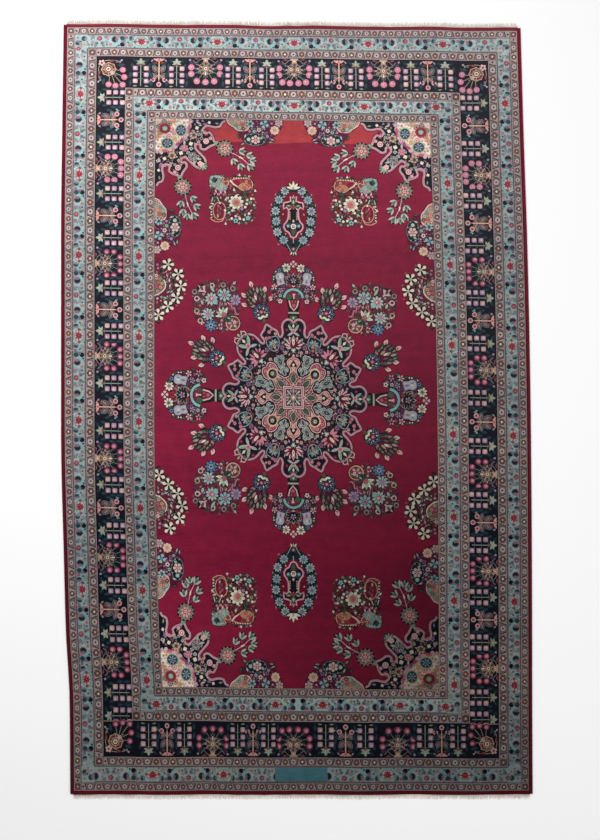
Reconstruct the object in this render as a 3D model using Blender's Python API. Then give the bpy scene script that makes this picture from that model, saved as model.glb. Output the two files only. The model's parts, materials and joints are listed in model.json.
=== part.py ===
"""A hand-knotted wool rug of the Persian medallion kind, lying flat on a floor.

The knotted cloth is one solid. Along each side runs an overcast selvedge of two cords,
and at each end the cotton warps run on as a short trimmed fringe on a narrow woven skirt.

Frame: metres, +Z up, +Y towards the head end, +X to the right as seen from the foot end.
The origin is on the floor, under the middle of the whole rug, fringes included.
"""

import math
import random
from collections import namedtuple

import bmesh
import bpy

# Driving dimensions, in metres.
PILE_LENGTH = 3.45  # knotted cloth alone, at its longer side
CLOTH_HEIGHT = 0.011  # foundation and pile
RIM_HEIGHT = 0.007  # the same, at the very edge, where the pile leans outwards
RIM_WIDTH = 0.006
GAP = 0.0003  # between two pieces that touch on the real rug

# The outer edges wander, as hand-weaving does. One row for each place along the rug.
Edge = namedtuple("Edge", "along left right")
EDGES = (
    Edge(along=-1.725, left=-1.0135, right=1.0550),
    Edge(along=-1.300, left=-1.0165, right=1.0530),
    Edge(along=-0.990, left=-1.0335, right=1.0525),
    Edge(along=-0.675, left=-1.0420, right=1.0515),
    Edge(along=-0.095, left=-1.0550, right=1.0470),
    Edge(along=0.355, left=-1.0550, right=1.0400),
    Edge(along=0.800, left=-1.0550, right=1.0290),
    Edge(along=1.220, left=-1.0500, right=1.0145),
    Edge(along=1.725, left=-1.0430, right=1.0000),
)

# The two end lines: how far the right corner lies inside the left one, and the ripple
# that the trimmed edge keeps.
HEAD_SLOPE = 0.018
FOOT_SLOPE = 0.0
Ripple = namedtuple("Ripple", "waves height phase")
RIPPLES = (
    Ripple(waves=4.5, height=0.0016, phase=0.4),
    Ripple(waves=11.0, height=0.0009, phase=1.9),
)

# The walked-on surface is nearly level: soft swells, in waves across and along.
Swell = namedtuple("Swell", "across along height phase")
SWELLS = (
    Swell(across=1.5, along=2.5, height=0.0004, phase=0.7),
    Swell(across=4.0, along=3.5, height=0.0002, phase=2.1),
)

# How finely the solids follow those lines.
CELLS_ACROSS = 18
CELLS_ALONG = 30
RIM_SHARE_ACROSS = RIM_WIDTH / (EDGES[0].right - EDGES[0].left)
RIM_SHARE_ALONG = RIM_WIDTH / PILE_LENGTH

# Selvedge: two cords lie side by side under one overcasting.
CORD_RADIUS = 0.0034
CORDS = 2
SELVEDGE_WIDTH = 2 * CORD_RADIUS * CORDS
GROOVE_DEPTH = 0.45  # of the cord's radius, between the two cords

# Fringe: locks on a woven skirt.
SKIRT_DEPTH = 0.006
SKIRT_HEIGHT = 0.003
LOCKS = 110  # at each end
LOCK_SHARE = 0.62  # of the pitch that a lock takes, and the rest is the gap
LOCK_LENGTH = 0.021
LOCK_SHORTEST = 0.80  # of that length
LOCK_SWAY = 0.0022  # sideways, at the tip
LOCK_TIP_WIDTH = 0.55  # of its width at the skirt
LOCK_TIP_HEIGHT = 0.0016
SEED = 7

CRIMSON = (0.115, 0.009, 0.024)
DARK_CRIMSON = (0.060, 0.007, 0.012)
IVORY = (0.700, 0.660, 0.560)


def wool(name, colour, roughness):
    """A matt yarn."""
    material = bpy.data.materials.new(name)
    material.use_nodes = True
    shader = material.node_tree.nodes["Principled BSDF"]
    shader.inputs["Base Color"].default_value = (*colour, 1)
    shader.inputs["Roughness"].default_value = roughness
    shader.inputs["Metallic"].default_value = 0
    return material


def slopes_at_rows(places, values):
    """The slope at each row of a smooth line that never overshoots its rows."""
    steps = [
        (values[i + 1] - values[i]) / (places[i + 1] - places[i])
        for i in range(len(places) - 1)
    ]
    inner = [
        0.0 if before * after <= 0 else 2 * before * after / (before + after)
        for before, after in zip(steps, steps[1:])
    ]
    return [steps[0], *inner, steps[-1]]


def edge_x(along, side):
    """The x of the rug's outer edge, selvedge included, on a smooth line through EDGES."""
    places = [row.along for row in EDGES]
    values = [getattr(row, side) for row in EDGES]
    slopes = slopes_at_rows(places, values)
    along = min(max(along, places[0]), places[-1])
    i = max(k for k in range(len(places) - 1) if places[k] <= along)
    step = places[i + 1] - places[i]
    t = (along - places[i]) / step
    return (
        values[i] * (1 + 2 * t) * (1 - t) ** 2
        + slopes[i] * step * t * (1 - t) ** 2
        + values[i + 1] * t * t * (3 - 2 * t)
        + slopes[i + 1] * step * t * t * (t - 1)
    )


def end_y(share, end):
    """The y of the knotted cloth's end line, share of the way from the left corner to the
    right one. end is 1 at the head and -1 at the foot."""
    slope = HEAD_SLOPE if end > 0 else FOOT_SLOPE
    ripple = sum(
        r.height * (1 + math.sin(2 * math.pi * r.waves * share + end + r.phase))
        for r in RIPPLES
    )
    return end * (PILE_LENGTH / 2 - slope * share - ripple)


def cloth_point(across, along):
    """A point of the knotted cloth seen from above. Both shares run from 0 to 1, from the
    left edge to the right one and from the foot to the head."""
    y = (1 - along) * end_y(across, -1) + along * end_y(across, 1)
    inset = SELVEDGE_WIDTH + GAP
    left = edge_x(y, "left") + inset
    right = edge_x(y, "right") - inset
    return (1 - across) * left + across * right, y


def swell(across, along):
    """How far the surface lies above or below its mean height."""
    return sum(
        s.height
        * math.sin(2 * math.pi * s.across * across + s.phase)
        * math.cos(2 * math.pi * s.along * along + s.phase)
        for s in SWELLS
    )


def shares(cells, rim):
    """Even steps from 0 to 1, with one more step beside each end for the leaning rim."""
    even = [rim + (1 - 2 * rim) * i / cells for i in range(cells + 1)]
    return [0.0, *even, 1.0]


def bridge(bm, ring, other):
    """Faces between two rings of as many points."""
    count = len(ring)
    for i in range(count):
        j = (i + 1) % count
        bm.faces.new((ring[i], ring[j], other[j], other[i]))


def solid(name, bm, material, smooth=False):
    """An object from a closed bmesh, with its faces turned outwards."""
    bmesh.ops.recalc_face_normals(bm, faces=bm.faces[:])
    mesh = bpy.data.meshes.new(name)
    bm.to_mesh(mesh)
    bm.free()
    if smooth:
        mesh.shade_smooth()
        mesh.set_sharp_from_angle(angle=math.radians(50))
    mesh.materials.append(material)
    made = bpy.data.objects.new(name, mesh)
    bpy.context.scene.collection.objects.link(made)
    return made


def rug_body(material):
    """The knotted cloth: a nearly level top, a leaning rim and a flat underside."""
    across = shares(CELLS_ACROSS, RIM_SHARE_ACROSS)
    along = shares(CELLS_ALONG, RIM_SHARE_ALONG)
    last_i, last_j = len(across) - 1, len(along) - 1
    bm = bmesh.new()
    top = {}
    for i, u in enumerate(across):
        for j, v in enumerate(along):
            on_rim = i in (0, last_i) or j in (0, last_j)
            height = RIM_HEIGHT if on_rim else CLOTH_HEIGHT + swell(u, v)
            top[i, j] = bm.verts.new((*cloth_point(u, v), height))
    for i in range(last_i):
        for j in range(last_j):
            bm.faces.new((top[i, j], top[i + 1, j], top[i + 1, j + 1], top[i, j + 1]))
    around = (
        [(i, 0) for i in range(last_i)]
        + [(last_i, j) for j in range(last_j)]
        + [(i, last_j) for i in range(last_i, 0, -1)]
        + [(0, j) for j in range(last_j, 0, -1)]
    )
    rim = [top[place] for place in around]
    foot = [bm.verts.new((v.co.x, v.co.y, 0)) for v in rim]
    bridge(bm, rim, foot)
    middle = bm.verts.new((0, 0, 0))
    for i, vert in enumerate(foot):
        bm.faces.new((middle, vert, foot[(i + 1) % len(foot)]))
    return solid("rug_body", bm, material)


def selvedge_section():
    """The outline of the two cords, as distance out from the cloth and height."""
    r = CORD_RADIUS
    outer = [(3 * r + r * math.cos(a), r + r * math.sin(a)) for a in arc(-90, 135)]
    groove = [(2 * r, r * (2 - GROOVE_DEPTH - 0.2))]
    inner = [(r + r * math.cos(a), r + r * math.sin(a)) for a in arc(45, 180)]
    return [*outer, *groove, *inner, (0, 0)]


def arc(start, stop, step=45):
    """Angles in radians, from start to stop in degrees."""
    return [math.radians(a) for a in range(start, stop + 1, step)]


def selvedge(name, side, material):
    """The overcast edge along one side. side is -1 on the left and 1 on the right."""
    section = selvedge_section()
    bm = bmesh.new()
    rings = []
    for along in shares(CELLS_ALONG, RIM_SHARE_ALONG):
        x, y = cloth_point((1 + side) / 2, along)
        inside = x + side * GAP
        rings.append([bm.verts.new((inside + side * out, y, z)) for out, z in section])
    for ring, other in zip(rings, rings[1:]):
        bridge(bm, ring, other)
    bm.faces.new(rings[0])
    bm.faces.new(rings[-1])
    return solid(name, bm, material, smooth=True)


def skirt_shares():
    """Where each lock starts and stops along the skirt, as pairs of shares."""
    spare = (1 - LOCK_SHARE) / 2
    return [((i + spare) / LOCKS, (i + 1 - spare) / LOCKS) for i in range(LOCKS)]


def end_point(share, end):
    """A point of the knotted cloth's end line, on the straight runs between its cells."""
    stops = shares(CELLS_ACROSS, RIM_SHARE_ACROSS)
    i = max(k for k in range(len(stops) - 1) if stops[k] <= share)
    t = (share - stops[i]) / (stops[i + 1] - stops[i])
    x0, y0 = cloth_point(stops[i], (1 + end) / 2)
    x1, y1 = cloth_point(stops[i + 1], (1 + end) / 2)
    return x0 + (x1 - x0) * t, y0 + (y1 - y0) * t


def fringe(name, end, material):
    """The skirt at one end, with its locks. end is 1 at the head and -1 at the foot."""
    rng = random.Random(SEED + end)
    pairs = skirt_shares()
    stops = [0.0, *[share for pair in pairs for share in pair], 1.0]
    corners = (
        (GAP, 0),
        (GAP, SKIRT_HEIGHT),
        (GAP + SKIRT_DEPTH, SKIRT_HEIGHT),
        (GAP + SKIRT_DEPTH, 0),
    )
    bm = bmesh.new()
    slices = []
    for share in stops:
        x, y = end_point(share, end)
        slices.append([bm.verts.new((x, y + end * out, z)) for out, z in corners])
    bm.faces.new(slices[0])
    bm.faces.new(slices[-1])
    for k, (here, after) in enumerate(zip(slices, slices[1:])):
        for a, b in ((0, 1), (1, 2), (3, 0)):
            bm.faces.new((here[a], here[b], after[b], after[a]))
        root = (here[3], here[2], after[2], after[3])
        if k % 2:
            lock(bm, root, end, rng)
        else:
            bm.faces.new(root)
    return solid(name, bm, material)


def lock(bm, root, end, rng):
    """One lock of fringe, four-sided, level on the floor, from four corners of the skirt."""
    long = LOCK_LENGTH * rng.uniform(LOCK_SHORTEST, 1)
    left, right = root[0].co.x, root[2].co.x
    middle = (left + right) / 2 + rng.uniform(-LOCK_SWAY, LOCK_SWAY)
    reach = LOCK_TIP_WIDTH * (right - left) / 2
    y = root[0].co.y + end * long
    tip = [
        bm.verts.new((middle - reach, y, 0)),
        bm.verts.new((middle - reach, y, LOCK_TIP_HEIGHT)),
        bm.verts.new((middle + reach, y, LOCK_TIP_HEIGHT)),
        bm.verts.new((middle + reach, y, 0)),
    ]
    bridge(bm, root, tip)
    bm.faces.new(tip)


def centre_on_origin(objects):
    """Slides the whole rug along the floor until the origin is under its middle."""
    points = [v.co for o in objects for v in o.data.vertices]
    x = (min(p.x for p in points) + max(p.x for p in points)) / 2
    y = (min(p.y for p in points) + max(p.y for p in points)) / 2
    for o in objects:
        for v in o.data.vertices:
            v.co.x -= x
            v.co.y -= y


def main():
    for old in list(bpy.data.objects):
        bpy.data.objects.remove(old)
    pile = wool("wool_pile", CRIMSON, 0.9)
    overcast = wool("selvedge_wool", DARK_CRIMSON, 0.85)
    cotton = wool("fringe_cotton", IVORY, 0.95)
    centre_on_origin(
        [
            rug_body(pile),
            selvedge("selvedge_left", -1, overcast),
            selvedge("selvedge_right", 1, overcast),
            fringe("fringe_head", 1, cotton),
            fringe("fringe_foot", -1, cotton),
        ]
    )


main()
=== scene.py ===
"""The looks of a hand-knotted Persian medallion rug, lying flat on a pale floor.

The pattern is drawn as a weaver's cartoon: patches of yarn on a rug of straight sides, in
millimetres. One mesh is cut along all the patches, laid on the real rug's wandering edges,
and parted into bands of pile along the stripes of the borders.
"""

import json
import math
import random
from collections import namedtuple

import bmesh
import bpy
import numpy as np
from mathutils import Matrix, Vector
from mathutils.bvhtree import BVHTree
from mathutils.geometry import delaunay_2d_cdt

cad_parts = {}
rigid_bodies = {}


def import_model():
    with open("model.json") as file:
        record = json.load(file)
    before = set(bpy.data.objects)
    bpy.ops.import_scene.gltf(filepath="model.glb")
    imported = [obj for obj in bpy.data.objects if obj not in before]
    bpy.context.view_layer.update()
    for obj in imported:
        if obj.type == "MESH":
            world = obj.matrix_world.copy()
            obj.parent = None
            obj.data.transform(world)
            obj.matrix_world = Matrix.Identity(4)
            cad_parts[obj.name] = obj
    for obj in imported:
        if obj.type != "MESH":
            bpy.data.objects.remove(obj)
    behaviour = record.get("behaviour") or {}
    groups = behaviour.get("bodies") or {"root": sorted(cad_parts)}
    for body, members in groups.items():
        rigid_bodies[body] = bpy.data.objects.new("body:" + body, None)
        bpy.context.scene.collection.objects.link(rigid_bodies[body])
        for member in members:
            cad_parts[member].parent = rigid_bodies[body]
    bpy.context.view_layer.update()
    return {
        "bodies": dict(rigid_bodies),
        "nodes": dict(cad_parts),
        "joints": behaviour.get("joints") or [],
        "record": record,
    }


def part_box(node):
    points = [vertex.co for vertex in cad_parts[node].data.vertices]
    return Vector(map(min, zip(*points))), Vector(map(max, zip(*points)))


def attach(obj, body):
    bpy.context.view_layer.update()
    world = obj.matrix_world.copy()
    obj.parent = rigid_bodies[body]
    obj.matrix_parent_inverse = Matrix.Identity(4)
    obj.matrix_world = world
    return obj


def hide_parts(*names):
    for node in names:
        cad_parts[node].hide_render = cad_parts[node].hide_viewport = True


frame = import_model()
bpy.ops.object.select_all(action="DESELECT")
scene = bpy.context.scene

MM = 0.001

# ---- the cartoon, in mm of the rug as designed
Patch = namedtuple("Patch", "yarn points")
LONGEST_RUN = 60
SMALL_FLOWER = 15
SMALL_LEAF = 24


class Pen:
    """Draws patches of yarn in a frame of its own, in millimetres."""

    def __init__(self, patches, frame=(1, 0, 0, 1, 0, 0)):
        self.patches = patches
        self.frame = frame

    def at(self, x=0, y=0, turn=0, across=1, along=1):
        """A pen with its origin at (x, y), turned by degrees, and stretched in its own x and y."""
        a, b, c, d, e, f = self.frame
        cos, sin = math.cos(math.radians(turn)), math.sin(math.radians(turn))
        p, q, r, s = cos * across, sin * across, -sin * along, cos * along
        frame = (
            a * p + c * q,
            b * p + d * q,
            a * r + c * s,
            b * r + d * s,
            a * x + c * y + e,
            b * x + d * y + f,
        )
        return Pen(self.patches, frame)

    def level(self, x, y):
        """How far towards the rug's head end a place of this pen's lies."""
        return self.frame[1] * x + self.frame[3] * y + self.frame[5]

    def fill(self, yarn, points):
        """A patch inside the outline. Long straight runs get points between their ends, so
        that they can follow the rug's wandering edges."""
        a, b, c, d, e, f = self.frame
        placed = [(a * x + c * y + e, b * x + d * y + f) for x, y in points]
        outline = []
        for (x0, y0), (x1, y1) in zip(placed, [*placed[1:], placed[0]]):
            parts = max(1, round(math.hypot(x1 - x0, y1 - y0) / LONGEST_RUN))
            for k in range(parts):
                t = k / parts
                outline.append((x0 + (x1 - x0) * t, y0 + (y1 - y0) * t))
        self.patches.append(Patch(yarn, outline))

    def disc(self, yarn, x, y, r, sides=8):
        self.fill(yarn, [(x + px, y + py) for px, py in lobes(r, sides)])

    def star(self, yarn, x, y, r, petals=8, notch=0.5, turn=0):
        self.fill(yarn, [(x + px, y + py) for px, py in star(r, petals, notch, turn)])

    def leaf(self, yarn, x, y, turn, length, width):
        self.at(x, y, turn).fill(yarn, leaf(length, width))

    def stem(self, yarn, points, width):
        self.fill(yarn, ribbon(points, width))

    def chart(self, text, sides=(1,)):
        """Draws the rows of a chart. A word by itself names the shapes that come after it, and
        each row gives a shape's yarns, its place and its measures. A blob is a smooth fill and a
        vine a smooth stem. On the side -1, a row's place and turn are mirrored."""
        for side in sides:
            for name, *numbers in rows(text):
                if not numbers:
                    kind = name
                    continue
                if kind in ("fill", "blob"):
                    outline = [(side * x, y) for x, y in zip(numbers[::2], numbers[1::2])]
                    self.fill(name, curve(outline, 2, True) if kind == "blob" else outline)
                elif kind in ("stem", "vine"):
                    line = [(side * x, y) for x, y in zip(numbers[1::2], numbers[2::2])]
                    self.stem(name, curve(line) if kind == "vine" else line, numbers[0])
                elif kind == "leaf":
                    x, y, turn, length, width = numbers
                    self.leaf(name, side * x, y, side * turn, length, width)
                else:
                    x, y, r, *more = numbers
                    if kind in ("disc", "star"):
                        getattr(self, kind)(name, side * x, y, r, *more)
                    else:
                        yarns = (*name.split("/"), "ink")[:3]
                        flower = blossom if kind == "blossom" else small_flower
                        flower(self, side * x, y, r, *yarns, *more)


BOTH = (-1, 1)  # the left side and the right


def rows(text):
    """A chart's rows: each is a word of the text, with its entries parted by commas."""
    return [[entry(part) for part in word.split(",")] for word in text.split()]


def entry(part):
    """The number that an entry of a chart spells, or else the entry itself, a name."""
    if part.strip("-.0123456789"):
        return part
    return float(part) if "." in part else int(part)


def polar(r, degrees):
    a = math.radians(degrees)
    return r * math.sin(a), r * math.cos(a)


def lobes(r, sides):
    """A plain round outline."""
    return [polar(r, 360 * (i + 0.5) / sides) for i in range(sides)]


def star(r, petals, notch, turn=0):
    """Round-tipped petals that meet at notch of their length. Small ones have flat tips."""
    step = 360 / petals
    points = []
    for i in range(petals):
        a = turn + i * step
        points += [polar(r * notch, a - step / 2), polar(r * 0.92, a - step * 0.24)]
        if r > SMALL_FLOWER:
            points.append(polar(r, a))
        points.append(polar(r * 0.92, a + step * 0.24))
    return points


def leaf(length, width):
    """A pointed leaf from the origin along +y."""
    half = width / 2
    if length < SMALL_LEAF:
        return [(0, 0), (half, 0.45 * length), (0, length), (-half, 0.45 * length)]
    side = [(0.55 * half, 0.12), (half, 0.4), (0.7 * half, 0.75)]
    right = [(x, y * length) for x, y in side]
    left = [(-x, y) for x, y in reversed(right)]
    return [(0, 0), *right, (0, length), *left]


def curve(points, steps=3, closed=False):
    """A smooth line through the points."""
    count = len(points)

    def point(i):
        if closed:
            return points[i % count]
        return points[min(max(i, 0), count - 1)]

    smooth = []
    for i in range(count if closed else count - 1):
        (ax, ay), (bx, by), (cx, cy), (dx, dy) = (point(i + k) for k in (-1, 0, 1, 2))
        for k in range(steps):
            t = k / steps
            h = (-t + 2 * t * t - t**3, 2 - 5 * t * t + 3 * t**3, t + 4 * t * t - 3 * t**3, t**3 - t * t)
            x = (h[0] * ax + h[1] * bx + h[2] * cx + h[3] * dx) / 2
            y = (h[0] * ay + h[1] * by + h[2] * cy + h[3] * dy) / 2
            smooth.append((x, y))
    return smooth if closed else [*smooth, points[-1]]


def offset(points, distance, closed=False):
    """The line moved sideways, to its left for a positive distance."""
    count = len(points)
    moved = []
    for i, (x, y) in enumerate(points):
        before = points[i - 1] if closed or i else points[i]
        after = points[(i + 1) % count] if closed or i < count - 1 else points[i]
        dx, dy = after[0] - before[0], after[1] - before[1]
        size = math.hypot(dx, dy) or 1
        moved.append((x - dy / size * distance, y + dx / size * distance))
    return moved


def ribbon(points, width):
    """The outline of a line of even width."""
    return offset(points, width / 2) + offset(points, -width / 2)[::-1]


def mirrored(points):
    """Half an outline, from its top to its foot on the right, made whole."""
    left = [(-x, y) for x, y in reversed(points) if abs(x) > 0.01]
    return [*points, *left]


# ---- flowers and leaves
def blossom(pen, x, y, r, petals, heart, rim="ink", count=6, turn=0, width=0.62, ground=1.06):
    """A flower whose petals stand apart on a ground of their own."""
    pen.disc(rim, x, y, r * ground, 9)
    half = r * width / 2
    petal = [(0, 0.2 * r), (half, 0.72 * r), (0.5 * half, r), (-0.5 * half, r), (-half, 0.72 * r)]
    for k in range(count):
        pen.at(x, y, turn + 360 * k / count).fill(petals, petal)
    pen.disc(heart, x, y, r * 0.27, 5)


def small_flower(pen, x, y, r, petals, heart, rim="ink"):
    pen.disc(rim, x, y, r * 1.2, 7)
    pen.star(petals, x, y, r, 5, 0.6)
    pen.disc(heart, x, y, r * 0.36, 5)


def tulip(pen, x, y, turn, size):
    """A three-pointed pale bud with a dark heart."""
    bud = pen.at(x, y, turn)
    bud.leaf("ink", 0, -4, 0, size + 7, size)
    for lean in (34, -34):
        bud.leaf("mist", 0, 0, lean, size * 0.9, size * 0.36)
        bud.leaf("umber", 0, size * 0.2, lean, size * 0.56, size * 0.18)
    bud.leaf("sage", 0, 0, 0, size, size * 0.36)
    bud.leaf("green", 0, 3, 0, size * 0.66, size * 0.24)
    bud.leaf("petal", size * 0.2, size * 0.3, -24, size * 0.5, size * 0.13)
    bud.leaf("petal", -size * 0.2, size * 0.3, 24, size * 0.5, size * 0.13)


def within(x, y, outline):
    """Whether a place lies inside an outline."""
    odd = False
    for (x0, y0), (x1, y1) in zip(outline, [*outline[1:], outline[0]]):
        if (y0 > y) != (y1 > y) and x < x0 + (y - y0) * (x1 - x0) / (y1 - y0):
            odd = not odd
    return odd


def meadow(pen, outline, pitch, seed, petals, hearts, rim="ink"):
    """Small flowers, leaves and buds strewn over the inside of an outline."""
    rng = random.Random(seed)
    petals, hearts = petals.split(), hearts.split()
    left, right = (end(x for x, _ in outline) for end in (min, max))
    foot, head = (end(y for _, y in outline) for end in (min, max))
    rise = pitch * 0.87
    for j in range(int((head - foot) / rise) + 1):
        for i in range(int((right - left) / pitch) + 1):
            x = left + (i + 0.5 * (j % 2) + rng.uniform(-0.2, 0.2)) * pitch
            y = foot + (j + rng.uniform(-0.2, 0.2)) * rise
            kind, turn, r = rng.random(), rng.uniform(0, 360), pitch * rng.uniform(0.36, 0.46)
            petal, heart = rng.choice(petals), rng.choice(hearts)
            if not within(x, y, outline):
                continue
            spot = pen.at(x, y, turn)
            if kind < 0.55:
                spot.disc(rim, 0, 0, r * 1.2, 6)
                spot.star(petal, 0, 0, r, 4, 0.55)
                spot.disc(heart, 0, 0, r * 0.4, 4)
            elif kind < 0.85:
                spot.leaf(rim, 0, -r * 1.3, 0, r * 2.6, r * 1.6)
                spot.leaf(petal, 0, -r * 1.1, 0, r * 2.2, r)
            else:
                spot.fill(rim, [(-r, -r), (0, r * 1.3), (r, -r)])
                spot.fill(petal, [(-r * 0.6, -r * 0.7), (0, r * 0.8), (r * 0.6, -r * 0.7)])


# ---- stripes
Stripe = namedtuple("Stripe", "kind side end")
SIDE_WIDTH = 127.5  # of the main border at the rug's sides, which its flowers are drawn for
STRIPES = (
    Stripe("guard", 37, 37),
    Stripe("blue", 63.5, 65),
    Stripe("guard", 39.5, 43.5),
    Stripe("main", SIDE_WIDTH, 149),
    Stripe("guard", 41, 40),
    Stripe("blue", 58, 66.5),
    Stripe("guard", 36, 37),
    Stripe("edge", 3, 15.5),
)
MAIN = 3  # the main border's place among the stripes
FIELD = (631, 1271.5)
HALF = (
    FIELD[0] + sum(s.side for s in STRIPES),
    FIELD[1] + sum(s.end for s in STRIPES),
)
GROUNDS = {"guard": "taupe", "blue": "sky", "main": "night", "edge": "madder"}

# Where the repeats stand, along x at the two ends and along y at the two sides.
# The foot was woven last, and its repeats had to make room for one another.
Places = namedtuple("Places", "head foot left right")
PALMETTES = Places(
    (-405, 4, 422),
    (-392, 0, 453),
    (1031, 588, 166, -290, -722, -1170),
    (1032, 588, 143, -321, -750, -1177),
)
INNER_CARNATIONS = Places(
    (-329, 4, 329),
    (-405, -87, 127, 463),
    (1002, 624, 255, -124, -505, -862, -1244),
    (991, 616, 252, -147, -514, -882, -1249),
)
OUTER_CARNATIONS = Places(
    (-700, -352, 4, 352, 700),
    (-680, -340, 408, 747),
    (1384, *INNER_CARNATIONS.left),
    (1367, *INNER_CARNATIONS.right),
)
PANEL = (-89, 147)  # the bare panel in the foot's outer blue stripe, along x
GUARD_HEARTS = ("petal", "blush", "ivory", "peach")
GUARD_REPEAT = 79  # what a guard's repeat is drawn at
SIDE_REPEAT, END_REPEAT = 87, 77  # about what it is let out or drawn in to

# How a run along one side of the rug lies: its turn, and the sign of its places.
Run = namedtuple("Run", "name turn sign lengthwise")
RUNS = (
    Run("head", 0, 1, False),
    Run("left", 90, 1, True),
    Run("foot", 180, -1, False),
    Run("right", -90, -1, True),
)


def frame_patch(pen, yarn, x, y):
    """A whole rectangle of half sizes x and y, under all that is drawn later."""
    pen.fill(yarn, [(-x, -y), (x, -y), (x, y), (-x, y)])


def trim(patches, first, wide, long):
    """Draws in what reaches past a line of the rug, from the patch of that number on."""
    for k in range(first, len(patches)):
        kept = [(min(max(x, -wide), wide), min(max(y, -long), long)) for x, y in patches[k].points]
        patches[k] = Patch(patches[k].yarn, kept)


def strip(start, end, y, width):
    return [(start, y - width / 2), (end, y - width / 2), (end, y + width / 2), (start, y + width / 2)]


def guard_ring(pen, h, heart):
    """The darker half of a guard's repeat: a ringed flower in a trapezoid."""
    pen.fill("bark", [(-17, -h), (17, -h), (27, h), (-27, h)])
    pen.fill("dove", [(-13.5, -h), (13.5, -h), (23, h), (-23, h)])
    pen.star("bark", 0, 0, h * 1.04, 6, 0.8)
    pen.star("clay", 0, 0, h * 0.84, 6, 0.8)
    pen.disc("bark", 0, 0, h * 0.6, 7)
    pen.disc(heart, 0, 0, h * 0.38, 6)


def guard_square(pen, h):
    """The pale half of a guard's repeat."""
    pen.disc("umber", 0, 0, h * 1.02, 8)
    pen.disc("ash", 0, 0, h * 0.86, 8)
    pen.disc("bark", 0, 0, h * 0.32, 5)


def guard_lines(pen, half, h):
    for yarn, inset, width in (("bark", 1, 2), ("ash", 3.2, 2.4), ("umber", 5.2, 1.6)):
        for side in BOTH:
            pen.fill(yarn, strip(-half, half, side * (h - inset), width))


def guard_run(pen, length, width, shift, repeat):
    """A guard stripe along x, with its outer edge at +y."""
    half, h = length / 2, width / 2
    guard_lines(pen, half, h)
    count = round(length / repeat)
    pitch = length / count
    for side in BOTH:
        corner = pen.at(side * half, 0, 0, side)
        corner.fill("bark", [(0, 6 - h), (-17, 6 - h), (-24, h - 6), (0, h - 6)])
        corner.fill("dove", [(0, 6 - h), (-13, 6 - h), (-20, h - 6), (0, h - 6)])
        corner.disc("bark", -7, 0, 5, 6)
    for i in range(count):
        x = -half + (i + 0.5) * pitch
        cell = pen.at(x, 0, 0, pitch / GUARD_REPEAT)
        guard_square(cell, h - 6)
        if i < count - 1:
            guard_ring(cell.at(GUARD_REPEAT / 2), h - 6, GUARD_HEARTS[(i + shift) % len(GUARD_HEARTS)])


def guard_corner(pen, width, height):
    """The square where two runs of a guard meet."""
    x, y = width / 2, height / 2
    for yarn, inset in rows("bark,0 ash,2 umber,4.4 taupe,6"):
        frame_patch(pen, yarn, x - inset, y - inset)
    pen.star("bark", 0, 0, y - 5, 6, 0.86)
    pen.disc("clay", 0, 0, y * 0.55, 7)
    pen.disc("bark", 0, 0, y * 0.4, 7)
    pen.disc("petal", 0, 0, y * 0.26, 6)


def carnation(pen):
    """The red flower of the blue stripes on its pale lozenge, opening towards +y."""
    pen.fill("slate", rows("-37,0 -22,17 0,21 22,17 37,0 22,-17 0,-21 -22,-17"))
    pen.fill("mist", rows("-34,0 -20,15 0,19 20,15 34,0 20,-15 0,-19 -20,-15"))
    pen.chart("""
        disc wine,27,-1,6.5,6 rose,27,-1,3.4,5 leaf cherry,3,0,50,24,12 salmon,9,0,50,9,3.4
        cherry,3,0,84,24,12 salmon,9,0,84,9,3.4 cherry,3,0,124,21,12 salmon,9,0,124,9,3.4""", BOTH)
    pen.chart("leaf cherry,0,2,0,17,12 cherry,0,-2,180,16,12 disc wine,0,0,7.5,7 rose,0,0,4,5")


LEAF = rows("-8,-11 3,-13 9,-3 8,8 -1,14 -8,8 -4,-2")


def curled_leaf(pen, yarn, inner, size):
    """A dark curled leaf over a duller shade, with a lighter inside."""
    pen.disc("haze", -3, 0, 16 * size, 8)
    pen.fill(yarn, [(px * size, py * size) for px, py in LEAF])
    pen.leaf(inner, -8 * size, -10 * size, 8, 20 * size, 8 * size)


def leaf_pair(pen, depth, yarn, inner):
    """Two dark leaves across the stripe, joined by their stem."""
    pen.fill("haze", [(x, share * depth) for x, share in rows("-14,-0.8 12,-0.7 4,0 12,0.7 -14,0.8")])
    pen.fill("slate", strip(-7, -2, 0, depth * 0.7))
    for side in BOTH:
        pen.disc(yarn if side > 0 else "night", 1, side * 0.46 * depth, 11, 8)
        pen.leaf(inner, -8, side * 0.3 * depth, side * 44, 15, 8)


def ringed_flower(pen, yarn, rim, r):
    """A small flower drawn in a dark line."""
    pen.star(rim, 0, 0, r, 6, 0.8)
    pen.star(yarn, 0, 0, r * 0.8, 6, 0.76)
    pen.disc(rim, 0, 0, r * 0.46, 6)
    pen.disc("petal", 0, 0, r * 0.24, 4)


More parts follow.
